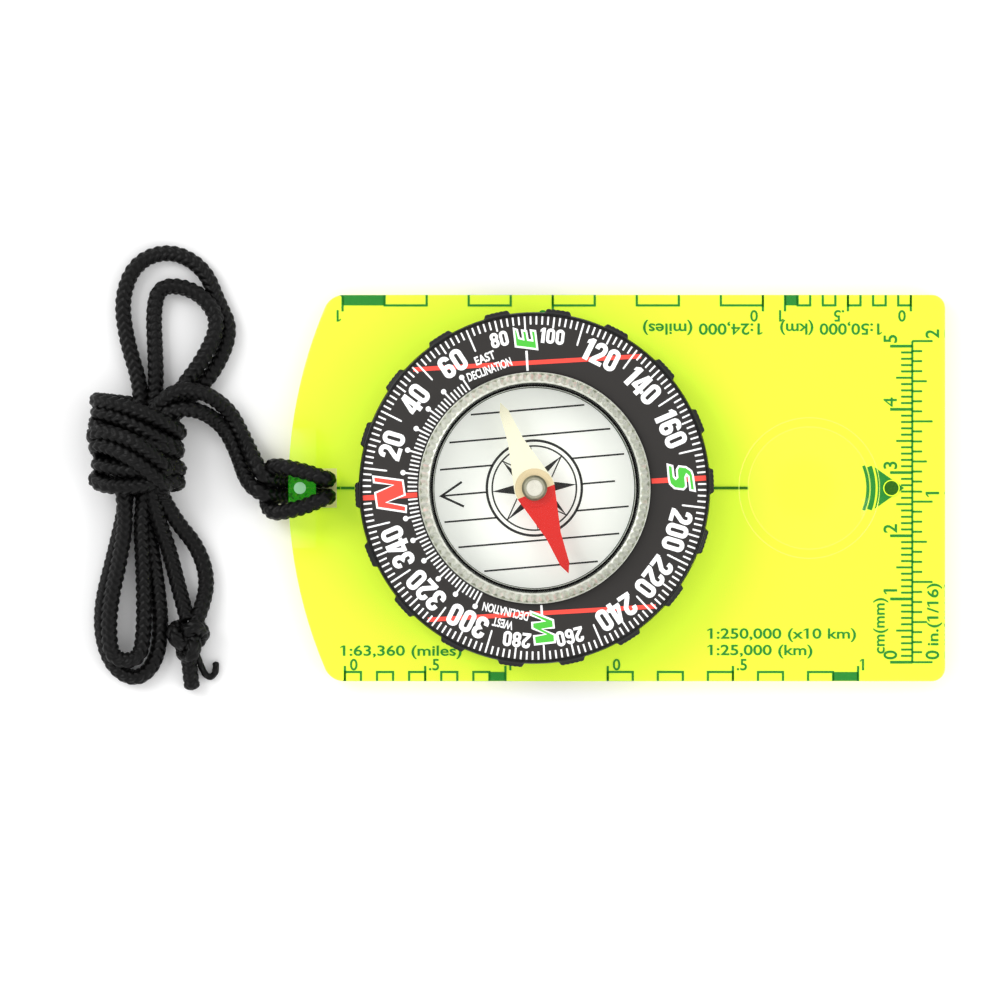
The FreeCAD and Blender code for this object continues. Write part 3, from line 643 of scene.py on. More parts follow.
class TypeCase:
    """Sets lines of plain sans type as closed meshes, one unit high at the figures."""

    def __init__(self) -> None:
        """Measure a figure once, so that heights come out true."""
        self.figure = 1.0
        verts, _ = self.set_line("0", 0.0)
        self.figure = verts[:, 1].max() - verts[:, 1].min()

    def set_line(self, text: str, bold: float) -> tuple[np.ndarray, list]:
        """Vertices and faces of a line of type with its baseline on the X axis.

        Args:
            text: Words to set.
            bold: Extra weight on each side of a stroke, as a share of the figure height.

        Returns:
            Vertices in figure heights, and faces with merged corners.
        """
        curve = bpy.data.curves.new("type", "FONT")
        curve.body = text
        curve.resolution_u = 4
        curve.extrude = 0.1
        curve.offset = bold * self.figure
        for _ in range(len(OWN_SHAPES) + 1):
            curve.materials.append(None)
        for place, letter in enumerate(text):
            curve.body_format[place].material_index = list(" " + "".join(OWN_SHAPES)).index(letter) \
                if letter in OWN_SHAPES else 0
        holder = bpy.data.objects.new("type", curve)
        bpy.context.scene.collection.objects.link(holder)
        mesh = bpy.data.meshes.new_from_object(holder)
        co = np.empty(len(mesh.vertices) * 3)
        mesh.vertices.foreach_get("co", co)
        marked = [[co[3 * corner] / self.figure for poly in mesh.polygons
                   if poly.material_index == kind for corner in poly.vertices]
                  for kind in range(1, len(OWN_SHAPES) + 1)]
        kept = [poly for poly in mesh.polygons if poly.material_index != 2]
        places, first, number = np.unique(co.reshape(-1, 3).round(6), axis=0,
                                          return_index=True, return_inverse=True)
        number = number.ravel()
        faces = [list(dict.fromkeys(number[list(poly.vertices)].tolist())) for poly in kept]
        bpy.data.objects.remove(holder)
        bpy.data.curves.remove(curve)
        bpy.data.meshes.remove(mesh)
        places, faces = places / self.figure, [face for face in faces if len(face) > 2]
        for edges, shapes in zip(marked, OWN_SHAPES.values()):
            places, faces = self.own_shapes(places, faces, np.unique(edges), shapes)
        used = np.unique([corner for face in faces for corner in face])
        number = np.zeros(len(places), int)
        number[used] = np.arange(len(used))
        return places[used], [number[face].tolist() for face in faces]

    def own_shapes(self, places: np.ndarray, faces: list, edges: np.ndarray,
                   shapes: list) -> tuple[np.ndarray, list]:
        """Add drawn shapes at the left of each figure of one kind.

        Args:
            places: Vertices of the line in figure heights.
            faces: Its faces.
            edges: Sorted x of every corner of those figures.
            shapes: Convex outlines from the figure's left edge.

        Returns:
            The vertices and faces with the shapes added.
        """
        lefts = edges[np.insert(np.diff(edges) > 0.25, 0, True)] if len(edges) else []
        for left in lefts:
            for outline in shapes:
                first, n = len(places), len(outline)
                flat = np.array(outline) + [left, 0.0]
                layers = [np.column_stack([flat, np.full(n, z)]) for z in (-0.1, 0.1)]
                places = np.vstack([places] + layers)
                walls = [[i, (i + 1) % n, (i + 1) % n + n, i + n] for i in range(n)]
                ends = [list(range(n))[::-1], list(range(n, 2 * n))]
                faces += [[first + i for i in face] for face in ends + walls]
        return places, faces


# The plain type has a one without a flag, and a four whose counter closes when it is made bolder.
OWN_SHAPES = {
    "1": [[(-0.2, 0.84), (-0.2, 0.73), (0.0, 0.87), (0.0, 1.0)]],
    "4": [[(0.0, 0.31), (0.42, 0.31), (0.42, 0.46), (0.17, 0.46), (0.0, 0.4)],
          [(0.0, 0.4), (0.17, 0.46), (0.42, 0.78), (0.42, 0.91)],
          [(0.42, 0.31), (0.58, 0.31), (0.58, 1.0), (0.49, 1.0), (0.42, 0.91)],
          [(0.42, 0.0), (0.58, 0.0), (0.58, 0.31), (0.42, 0.31)],
          [(0.58, 0.31), (0.69, 0.31), (0.69, 0.46), (0.58, 0.46)]],
}
TYPE = TypeCase()


# ------------------------------------------------------------------------------- studio
@dataclass
class Studio:
    """Plain white sweep, soft lamps and a long lens straight above."""

    view_width: float = 157.6
    view_centre: tuple[float, float] = (-18.42, -1.89)
    distance: float = 1000.0
    sensor: float = 36.0
    surround: float = 1.03
    opening: tuple[float, float] = (0.9, 0.985)
    floor_size: float = 4000.0

    def camera(self) -> None:
        """Put the camera straight above, with +X to the right."""
        data = bpy.data.cameras.new("camera")
        data.sensor_width = self.sensor
        data.lens = self.sensor * self.distance / self.view_width
        data.clip_end = 10.0
        holder = bpy.data.objects.new("camera", data)
        x, y = self.view_centre
        holder.location = (x * MM, y * MM, self.distance * MM + span("baseplate")[1][2] * MM)
        bpy.context.scene.collection.objects.link(holder)
        bpy.context.scene.camera = holder

    def lamp(self, name: str, at: tuple[float, float, float], aim: tuple[float, float, float],
             size: float, power: float) -> None:
        """Add a square softbox.

        Args:
            name: Name of the lamp.
            at: Its place in millimetres.
            aim: The point that it faces.
            size: Width in millimetres.
            power: Power in watts.
        """
        data = bpy.data.lights.new(name, "AREA")
        data.shape = "SQUARE"
        data.size = size * MM
        data.energy = power
        holder = bpy.data.objects.new(name, data)
        place = np.array(at, float)
        back = place - np.array(aim, float)
        back /= np.linalg.norm(back)
        side = np.cross([0.0, 1.0, 0.0], back)
        side /= np.linalg.norm(side)
        up = np.cross(back, side)
        matrix = np.eye(4)
        matrix[:3, 0], matrix[:3, 1], matrix[:3, 2] = side, up, back
        matrix[:3, 3] = place * MM
        holder.matrix_world = matrix.T.tolist()
        bpy.context.scene.collection.objects.link(holder)

    def lights(self) -> None:
        """Two softboxes and a white surround that is dark straight overhead, like a tent's opening."""
        self.lamp("key_box", (-560, 330, 520), (-20, 0, 0), 380, 2.3)
        self.lamp("fill_box", (620, -260, 480), (0, 0, 0), 380, 1.3)
        world = bpy.data.worlds.new("surround")
        world.use_nodes = True
        tree = world.node_tree
        way = add(tree, "ShaderNodeTexCoord")
        up = add(tree, "ShaderNodeSeparateXYZ", None, {0: way.outputs["Generated"]})
        strength = add(tree, "ShaderNodeMapRange", {
            "interpolation_type": "SMOOTHSTEP", "From Min": self.opening[0], "From Max": self.opening[1],
            "To Min": self.surround, "To Max": self.surround * 0.4}, {"Value": up.outputs[2]})
        tree.links.new(strength.outputs[0], tree.nodes["Background"].inputs["Strength"])
        tree.nodes["Background"].inputs["Color"].default_value = linear("#FFFFFF")
        bpy.context.scene.world = world
        bpy.context.scene.view_settings.view_transform = "Standard"

    def floor(self) -> None:
        """A matt white sheet under the compass."""
        half = self.floor_size / 2
        corners = np.array([[-half, -half, 0], [half, -half, 0], [half, half, 0], [-half, half, 0]])
        sheet = new_object("floor", corners + [0, 0, -0.02], [[0, 1, 2, 3]], smooth=None)
        dress(sheet, ScreenInk("matt_white_card", "#FBFBFB", "#F7F7F7", 40.0, 0.9).build())


# ------------------------------------------------------------------------------- lanyard
class Strand(Enum):
    """The two halves of the doubled cord."""

    UPPER = "upper"
    LOWER = "lower"


@dataclass
class Lanyard:
    """One cord, doubled, hitched round the bar, wound into a hank and knotted at its ends."""

    diameter: float = 2.4
    turns: float = 3.8
    steps_per_turn: int = 14
    wrap_x: float = -23.75
    wrap_turn: tuple = (0.0, 0.575, 1.575, 2.575, 3.1, 3.575, 3.8)
    wrap_y: tuple = (13.0, 12.0, 7.4, 2.8, 4.3, 6.8, 6.0)
    wrap_slant: tuple = (1.0, 2.2, 1.3, -0.8, 2.0, 4.4, 4.4)
    wrap_half_width: tuple = (6.2, 6.4, 6.8, 6.3, 6.7, 6.7, 6.5)
    wrap_half_height: tuple = (3.0, 3.1, 3.3, 3.1, 3.6, 4.0, 3.8)
    wrap_z: tuple = (4.4, 4.5, 4.6, 4.5, 4.9, 5.3, 5.2)
    strand_gap: float = 2.35
    around: int = 40
    curve_steps: int = 24
    ring_step: float = 0.17
    plaits: int = 8
    plait_length: float = 1.25
    plait_depth: float = 0.3
    hitch: dict = field(default_factory=lambda: {
        Strand.UPPER: [
            (-3.6, 0.0, 1.25), (-3.5, 2.4, 1.5), (-2.5, 3.6, 4.1), (0.6, 3.1, 4.95), (3.0, 2.5, 4.75),
            (6.3, 1.35, 4.8), (6.3, 1.35, 1.25), (3.0, 1.3, 1.25), (-0.4, 1.3, 1.3)],
        Strand.LOWER: [
            (-3.6, 0.0, 1.25), (-3.5, -2.6, 1.5), (-2.5, -4.0, 4.1), (0.6, -3.5, 4.95),
            (3.0, -2.8, 4.75), (6.3, -1.35, 4.8), (6.3, -1.35, 1.25), (3.0, -1.3, 1.25),
            (-0.4, -1.3, 1.3)]})
    lead: dict = field(default_factory=lambda: {
        Strand.UPPER: [
            (-1.9, 1.2, 2.1), (-3.9, 1.6, 4.3), (-5.6, 5.0, 3.6), (-7.6, 9.0, 1.6), (-9.5, 12.5, 2.4),
            (-13.4, 15.3, 5.4), (-17.8, 15.6, 5.9), (-21.6, 11.8, 5.2)],
        Strand.LOWER: [
            (-1.9, -1.3, 2.1), (-4.1, -1.0, 4.3), (-6.6, 1.0, 3.2), (-8.1, 5.6, 1.5), (-10.3, 9.9, 1.9),
            (-14.1, 12.5, 5.0), (-18.4, 12.4, 5.6), (-22.4, 9.6, 5.2)]})
    bottom: dict = field(default_factory=lambda: {
        Strand.UPPER: [
            (-25.0, 2.5, 3.2), (-26.1, -4.5, 1.6), (-27.8, -11.4, 1.25), (-29.6, -18.4, 1.25),
            (-29.5, -24.1, 1.25), (-27.5, -28.7, 1.25), (-24.0, -30.4, 1.25), (-21.1, -27.8, 1.25),
            (-20.1, -22.6, 1.25), (-20.7, -15.6, 1.25), (-21.9, -8.4, 1.4), (-23.2, -1.5, 2.6)],
        Strand.LOWER: [
            (-26.4, 2.5, 5.2), (-25.5, -4.8, 3.8), (-26.6, -11.4, 3.4), (-27.9, -17.2, 3.3),
            (-28.4, -22.4, 3.3), (-27.8, -27.2, 3.2), (-23.4, -27.2, 2.8), (-22.8, -22.0, 2.5),
            (-22.8, -16.6, 2.5), (-23.0, -10.8, 2.7), (-23.3, -4.9, 3.3), (-22.0, 1.6, 4.4)]})
    top: dict = field(default_factory=lambda: {
        Strand.UPPER: [
            (-21.8, 8.6, 4.4), (-20.9, 15.1, 1.9), (-21.1, 21.5, 1.3), (-21.4, 28.0, 1.25),
            (-20.5, 31.8, 1.3), (-16.8, 32.0, 1.7), (-13.0, 30.0, 2.9), (-10.8, 25.9, 3.1),
            (-13.6, 20.0, 2.8), (-17.2, 15.4, 3.0), (-18.8, 10.6, 4.6)],
        Strand.LOWER: [
            (-23.4, 9.5, 3.6), (-23.3, 16.1, 1.7), (-25.6, 23.2, 1.25), (-26.5, 30.0, 1.25),
            (-24.2, 35.8, 1.25), (-18.7, 37.7, 1.25), (-13.4, 34.9, 1.25), (-11.1, 29.3, 1.25),
            (-9.0, 24.9, 1.25), (-11.6, 18.5, 1.3), (-15.8, 14.1, 1.7), (-19.6, 9.6, 2.8)]})
    tail: dict = field(default_factory=lambda: {
        Strand.UPPER: [
            (-21.6, 1.2, 5.6), (-20.6, -4.6, 3.6), (-18.8, -10.0, 1.7), (-17.5, -15.4, 1.4),
            (-15.9, -21.0, 2.4)],
        Strand.LOWER: [
            (-20.4, -0.4, 4.4), (-17.6, -5.4, 2.8), (-14.6, -9.0, 1.5), (-12.9, -13.6, 1.25),
            (-13.3, -18.0, 1.5), (-15.0, -22.2, 2.6)]})
    knot_centre: tuple[float, float] = (-15.85, -23.8)
    stub: list = field(default_factory=lambda: [
        (-15.9, -25.0, 2.0), (-15.7, -28.6, 1.4), (-15.2, -32.0, 1.3)])
    curl: list = field(default_factory=lambda: [
        (-14.6, -26.0, 1.6), (-13.6, -29.2, 0.9), (-12.4, -30.1, 0.6), (-11.4, -29.0, 0.6),
        (-11.6, -27.4, 0.7)])

    def wraps(self, strand: Strand) -> list:
        """Points of one strand's turns round the hank.

        The turn angle goes on evenly; the point is at an ellipse's cosine and sine of it, and leans
        by the slant times the cosine.  Centre, slant and ellipse change from turn to turn, and the
        last turn crosses over the others.

        Args:
            strand: Which half of the cord.

        Returns:
            Points from the rear edge's middle, in millimetres.
        """
        shift = 0.0 if strand is Strand.UPPER else self.strand_gap
        count = int(self.turns * self.steps_per_turn)
        turn = np.arange(count) / self.steps_per_turn
        phase = turn * 2 * math.pi + math.pi * 1.35
        y, slant, width, height, z = (np.interp(turn, self.wrap_turn, row) for row in (
            self.wrap_y, self.wrap_slant, self.wrap_half_width, self.wrap_half_height, self.wrap_z))
        px = self.wrap_x - width * np.cos(phase) * (1 + 0.04 * np.sin(2.3 * turn + shift))
        py = y - shift + slant * np.cos(phase) + 0.3 * np.sin(1.7 * phase + shift)
        pz = z + height * np.sin(phase)
        return list(zip(px, py, pz))

    def route(self, strand: Strand) -> list:
        """All control points of one strand, from the bar to the end knot, in millimetres."""
        rear = span("baseplate")[0][0]
        core_down = [(-24.4, 7.0, 4.6)]
        core_up = [(-22.8, 4.6, 4.4)]
        parts = (self.hitch[strand] + self.lead[strand] + core_down + self.bottom[strand] + core_up
                 + self.top[strand] + self.wraps(strand) + self.tail[strand])
        return [(rear + x, y, z) for x, y, z in parts]

    def centreline(self, name: str, points: list) -> np.ndarray:
        """Points read from a quadratic NURBS curve through a route, in millimetres.

        Args:
            name: Name of the scratch curve.
            points: Control points in millimetres.

        Returns:
            Points along the curve.
        """
        curve = bpy.data.curves.new(name, "CURVE")
        curve.dimensions = "3D"
        spline = curve.splines.new("NURBS")
        spline.points.add(len(points) - 1)
        for control, (x, y, z) in zip(spline.points, points):
            control.co = (x * MM, y * MM, z * MM, 1.0)
        spline.order_u = 3
        spline.use_endpoint_u = True
        spline.resolution_u = self.curve_steps
        holder = bpy.data.objects.new(name, curve)
        bpy.context.scene.collection.objects.link(holder)
        mesh = bpy.data.meshes.new_from_object(holder)
        line = np.empty(len(mesh.vertices) * 3)
        mesh.vertices.foreach_get("co", line)
        bpy.data.objects.remove(holder)
        bpy.data.curves.remove(curve)
        bpy.data.meshes.remove(mesh)
        line = line.reshape(-1, 3) / MM
        run = np.concatenate([[0], np.cumsum(np.linalg.norm(np.diff(line, axis=0), axis=1))])
        even = np.linspace(0, run[-1], int(run[-1] / self.ring_step))
        return np.column_stack([np.interp(even, run, axis) for axis in line.T])

    def braid(self, name: str, line: np.ndarray, radius: float, taper: float = 0.0,
              closed: bool = False) -> bpy.types.Object:
        """A round braided tube along a line.

        Round angle u and length v give the place: centre plus radius times (cos u, sin u) in the
        section's own frame.  The plaits stand in columns round the cord; each is a low mound that
        leans one way in even columns and the other way in odd ones, half a plait further on.

        Args:
            name: Name of the piece.
            line: Centre points in millimetres.
            radius: Outer radius in millimetres.
            taper: Length over which each end closes to a round nose.
            closed: Whether the line is a loop.

        Returns:
            The linked object with its UV map and plait height.
        """
        if closed:
            tangent = np.roll(line, -1, axis=0) - np.roll(line, 1, axis=0)
        else:
            tangent = np.gradient(line, axis=0)
        tangent /= np.linalg.norm(tangent, axis=1)[:, None]
        normal = np.empty_like(line)
        seed = np.cross(tangent[0], [0.0, 0.0, 1.0])
        normal[0] = seed / np.linalg.norm(seed)
        for i in range(1, len(line)):
            step = normal[i - 1] - tangent[i] * np.dot(normal[i - 1], tangent[i])
            normal[i] = step / np.linalg.norm(step)
        binormal = np.cross(tangent, normal)
        run = np.concatenate([[0], np.cumsum(np.linalg.norm(np.diff(line, axis=0), axis=1))])
        twist = np.zeros(len(line))
        if closed:
            end = normal[-1] - tangent[0] * np.dot(normal[-1], tangent[0])
            miss = math.atan2(np.dot(end, binormal[0]), np.dot(end, normal[0]))
            twist = -miss * run / run[-1]
        u = np.arange(self.around) * 2 * math.pi / self.around
        column, across = np.divmod(np.arange(self.around) * self.plaits / self.around, 1)
        across = 2 * across - 1 + self.plaits / self.around
        lean = np.where(column % 2 == 0, 1, -1) * 0.27 * across + 0.25 * (column % 2)
        along = run[:, None] / self.plait_length + lean[None]
        height = np.sqrt(1 - 0.75 * across ** 2)[None] * (0.5 + 0.5 * np.cos(2 * math.pi * along)) ** 0.6
        nose = np.ones(len(line))
        if taper > 0:
            ends = np.clip(np.minimum(run, run[-1] - run) / taper, 0, 1)
            nose = np.sqrt(np.clip(1 - (1 - ends) ** 2, 0.0004, 1))
        depth = self.plait_depth * radius / (self.diameter / 2)
        r = (radius + depth * (height - 0.55)) * nose[:, None]
        angle = u[None] + twist[:, None]
        rings = (line[:, None] + r[..., None] * (np.cos(angle)[..., None] * normal[:, None]
                                                 + np.sin(angle)[..., None] * binormal[:, None]))
        verts = rings.reshape(-1, 3)
        verts[:, 2] = np.maximum(verts[:, 2], 0.02)
        faces = grid_faces(len(line), self.around, closed, True)[:, ::-1]
        caps = []
        if not closed:
            first = np.arange(self.around)
            caps = [first[::-1].tolist(), (first + len(verts) - self.around).tolist()]
        caps = [cap[::-1] for cap in caps]
        piece = new_object(name, verts, faces.tolist() + caps, smooth=80.0)
        mesh = piece.data
        plait = mesh.attributes.new("plait_height", "FLOAT", "POINT")
        plait.data.foreach_set("value", height.ravel())
        corner = np.empty(len(mesh.loops), int)
        mesh.loops.foreach_get("vertex_index", corner)
        row, place = np.divmod(corner, self.around)
        quads = place[:faces.size].reshape(-1, 4)
        quads[(quads.max(axis=1) - quads.min(axis=1) > 1)[:, None] & (quads == 0)] = self.around
        uv = np.column_stack([place * (2 * math.pi * radius / self.around), run[row]]) * MM
        mesh.uv_layers.new(name="lay").data.foreach_set("uv", uv.ravel())
        return piece

    def knot(self) -> bpy.types.Object:
        """The overhand knot: a trefoil loop of the same cord, drawn tight."""
        t = np.arange(260) * 2 * math.pi / 260
        rear = span("baseplate")[0][0]
        x, y = self.knot_centre
        loop = np.column_stack([
            rear + x + 0.86 * (np.sin(t) + 1.75 * np.sin(2 * t)),
            y + 0.98 * (np.cos(t) - 1.75 * np.cos(2 * t)),
            2.75 - 1.35 * np.sin(3 * t)])
        return self.braid("end_knot", loop, self.diameter / 2, closed=True)

    def ends(self) -> list:
        """The knot and the two stubs beyond it, melted at their tips."""
        rear = span("baseplate")[0][0]
        stub_line = self.centreline("stub", [(rear + x, y, z) for x, y, z in self.stub])
        curl_line = self.centreline("curl", [(rear + x, y, z) for x, y, z in self.curl])
        stub = self.braid("end_stub", stub_line, self.diameter / 2, taper=0.8)
        curl = self.braid("end_thread", curl_line, 0.5, taper=0.5)
        knot = self.knot()
        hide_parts("lanyard_stub_straight")
        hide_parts("lanyard_stub_curl")
        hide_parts("lanyard_end_knot")
        return [knot, stub, curl]

    def build(self) -> None:
        """Make both strands, the knot and the stubs."""
        nylon = BraidedNylon().build()
        ends = self.ends()
        for piece in ends:
            dress(piece, nylon)
            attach(piece, "plate")
        loops = {Strand.UPPER: ("bottom_loop_outer", "top_loop_inner"),
                 Strand.LOWER: ("bottom_loop_inner", "top_loop_outer")}
        for strand in Strand:
            points = self.route(strand)
            line = self.centreline("route_" + strand.value, points)
            length = float(np.linalg.norm(np.diff(line, axis=0), axis=1).sum())
            piece = self.braid("cord_" + strand.value, line, self.diameter / 2, taper=0.3)
            dress(piece, nylon)
            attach(piece, "plate")
            parts = ["hitch_" + strand.value, "lead_" + strand.value, *loops[strand],
                     "tail_" + strand.value, "hank"]
            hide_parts(*["lanyard_" + part for part in parts])
            LOG.info("lanyard strand %s is %.1f mm long", strand.value, length)


# ------------------------------------------------------------------------------- baseplate
@dataclass
class Baseplate:
    """Fluorescent clear plate with its printed rulers, map scales and direction marks."""

    print_low: float = 0.03
    print_high: float = 0.05
    dimple_top: float = 0.22
    line: float = 0.34
    fine: float = 0.31
    figure_height: float = 2.1
    small_figure: float = 1.77
    weight: float = 0.02
    ruler_x: float = 46.8
    ruler_start: float = -27.55
    lens_x: float = 30.4
    edge_y: float = 30.35

    def rulers(self, art: Artwork) -> None:
        """Centimetre and inch rulers on one spine at the front edge."""
        end = self.ruler_start + 2 * 25.4
        art.bars([(self.ruler_x, self.ruler_start)], [(self.ruler_x, end - 0.05)], self.fine)
        for step in range(51):
            length = 3.5 if step % 10 == 0 else 2.54 if step % 5 == 0 else 1.77
            width = 0.43 if step % 10 == 0 else self.fine
            y = self.ruler_start + step
            art.bars([(self.ruler_x, y)], [(self.ruler_x - length, y)], width)
        for step in range(33):
            length = 3.2 if step % 8 == 0 else 2.3 if step % 4 == 0 else 1.55
            y = self.ruler_start + step * 25.4 / 16
            art.bars([(self.ruler_x, y)], [(self.ruler_x + length, y)], self.fine)
        for value in range(6):
            at = (44.35, self.ruler_start + 10 * value + 1.15)
            art.letters(str(value), self.figure_height, at, 90, bold=self.weight)
        for value in range(3):
            at = (51.0, self.ruler_start + 25.4 * value + 1.15)
            art.letters(str(value), self.figure_height, at, 90, bold=self.weight)
        art.letters("cm(mm)", 1.75, (42.4, -26.2), 90, length=8.8, bold=self.weight, middle=False)
        art.letters("in.(1/16)", 1.75, (50.9, -24.9), 90, length=9.8, bold=self.weight, middle=False)

    def map_scale(self, art: Artwork, start: float, box: float, side: int, filled: int,
                  scale_height: float) -> None:
        """A bar scale of ten boxes along a long edge.

        Args:
            art: Artwork that gets it.
            start: Where zero is, along the plate.
            box: Signed width of a box.
            side: 1 for the far edge, read upside down, or -1 for the near edge.
            filled: Number of the box that is filled.
            scale_height: Height of the boxes.
        """
        edge = side * self.edge_y
        inner = edge - side * scale_height
        for number in range(0, 10, 2):
            low, high = start + box * number, start + box * (number + 1)
            outline = [(low, edge), (low, inner), (high, inner), (high, edge)]
            art.ribbon(np.array(outline), self.line, False)
        low, high = start + box * filled, start + box * (filled + 1)
        art.prism(np.array([(low, edge), (high, edge), (high, inner), (low, inner)]))
        for number, words in ((0, "0"), (5, ".5"), (10, "1")):
            x = start + box * number
            art.bars([(x, edge)], [(x, inner - side * 0.95)], self.line)
            baseline = inner - (0.8 if side > 0 else -0.3)
            at = (x - side * (0.6 if words == "1" else 1.4), baseline)
            art.letters(words, self.small_figure, at, 90 + side * 90, bold=self.weight)

    def scales(self, art: Artwork) -> None:
        """The four map scales with their names."""
        self.map_scale(art, -42.96, 2.54, -1, 9, 1.25)
        self.map_scale(art, -1.37, 3.96, -1, 9, 1.25)
        self.map_scale(art, 23.17, -6.65, 1, 9, 1.45)
        self.map_scale(art, 46.57, -1.99, 1, 9, 1.45)
        names = [("1:63,360 (miles)", 1.6, -43.7, -26.5, 0, 19.2), ("1:250,000 (x10 km)", 1.6, 14.4, -23.8, 0, 23.5),
                 ("1:25,000 (km)", 1.6, 14.4, -26.4, 0, 16.6), ("1:24,000 (miles)", 1.75, 23.1, 26.0, 180, 18.9),
                 ("1:50,000 (km)", 1.75, 42.0, 26.0, 180, 16.1)]
        for words, height, x, y, heading, length in names:
            art.letters(words, height, (x, y), heading, length=length, bold=self.weight, middle=False)

    def direction_marks(self, art: Artwork, dark: Artwork, dimple_highlight: Artwork) -> None:
        """Index lines on the long axis, the arrow at the front of the magnifier, and a painted highlight ring round
        the arrow's dimple.
        """
        rear = span("baseplate")[0][0]
        dark.bars([(rear + 8.25, 0.0)], [(rear + 10.45, 0.0)], 0.42)
        dark.bars([(15.4, 0.0)], [(21.0, 0.0)], 0.42)
        dark.prism(circle(1.1, 32) + [43.5, 0.0])
        art.ribbon(circle(9.02, 17, -22, 44) + [self.lens_x, 0], 0.5, False)
        art.ribbon(circle(10.1, 17, -19.5, 39) + [self.lens_x, 0], 1.0, False)
        # Pale ring round the dimple: a painted highlight of its edge.
        dimple_highlight.ribbon(circle(1.22, 40) + [43.5, 0.0], 0.16, True)
        base = circle(10.95, 13, -17.5, 35) + [self.lens_x, 0]
        art.prism(np.vstack([base, [(45.5, 0.0)]]))

    def build(self) -> None:
        """Dress the CAD plate and lay its print just inside the underside."""
        # The plate's green emission is painted light: it lifts shaded places of the plate towards green and lightens
        # the print seen through it.
        dress(DATA["baseplate"], MouldedAcrylic(
            "fluorescent_acrylic", "#FCFF78", "#FDFFC8", "#20FF18", 0.1).build())
        ink = ScreenInk("green_screen_ink", "#006A66", "#00726C").build()
        dark_ink = ScreenInk("dark_green_screen_ink", "#00241C", "#002C20").build()
        art = Artwork(self.print_low, self.print_high)
        dark = Artwork(self.dimple_top, self.dimple_top + 0.02)
        self.rulers(art)
        self.scales(art)
        dimple_highlight = Artwork(self.dimple_top + 0.02, self.dimple_top + 0.04)
        self.direction_marks(art, dark, dimple_highlight)
        top = span("baseplate")[0][2] + 3.7
        # A pale green disc laid on the bar's pip, lighter than the plate round it.
        pip_disc = Artwork(top, top + 0.01)
        pip_disc.prism(circle(0.95, 32) + [span("baseplate")[0][0] + 1.85, 0.0])
        pip_disc_ink = ScreenInk("pale_pip_disc_ink", "#8CCB96", "#BFE8C4", 0.5, 0.7).build()
        # Pale glowing ink for the painted highlight ring round the dimple.
        dimple_highlight_ink = ScreenInk("painted_dimple_highlight", "#D8F050", "#F0FFA0", 0.5, 0.4, 0.3).build()
        for name, shapes, colour in (("plate_print", art, ink), ("plate_index_print", dark, dark_ink),
                                     ("arrow_dimple_painted_highlight", dimple_highlight, dimple_highlight_ink),
                                     ("bar_pip_face", pip_disc, pip_disc_ink)):
            piece = shapes.mesh(name)
            dress(piece, colour)
            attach(piece, "plate")
        dress(DATA["drag_washer"], MouldedPlastic("nylon_washer", "#D8D8D2", "#C8C8C0", 0.5).build())
        # Thin acrylic beads at the lens and moat edges; their pale emission paints a highlight line along each edge.
        edge_highlight = MouldedAcrylic("acrylic_edge_painted_highlight", "#FEFFB0", "#FEFFD8", "#FFFFC8", 0.16).build()
        for name, radius, height in (("lens_rim", 9.65, 3.28), ("moat_rim", 11.1, 3.49)):
            bead = lathe(name, circle(0.06, 10) + [radius, height], 180, centre=(self.lens_x, 0.0))
            dress(bead, edge_highlight)
            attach(bead, "plate")
        LOG.info("baseplate dressed, print has %d vertices", art.count)


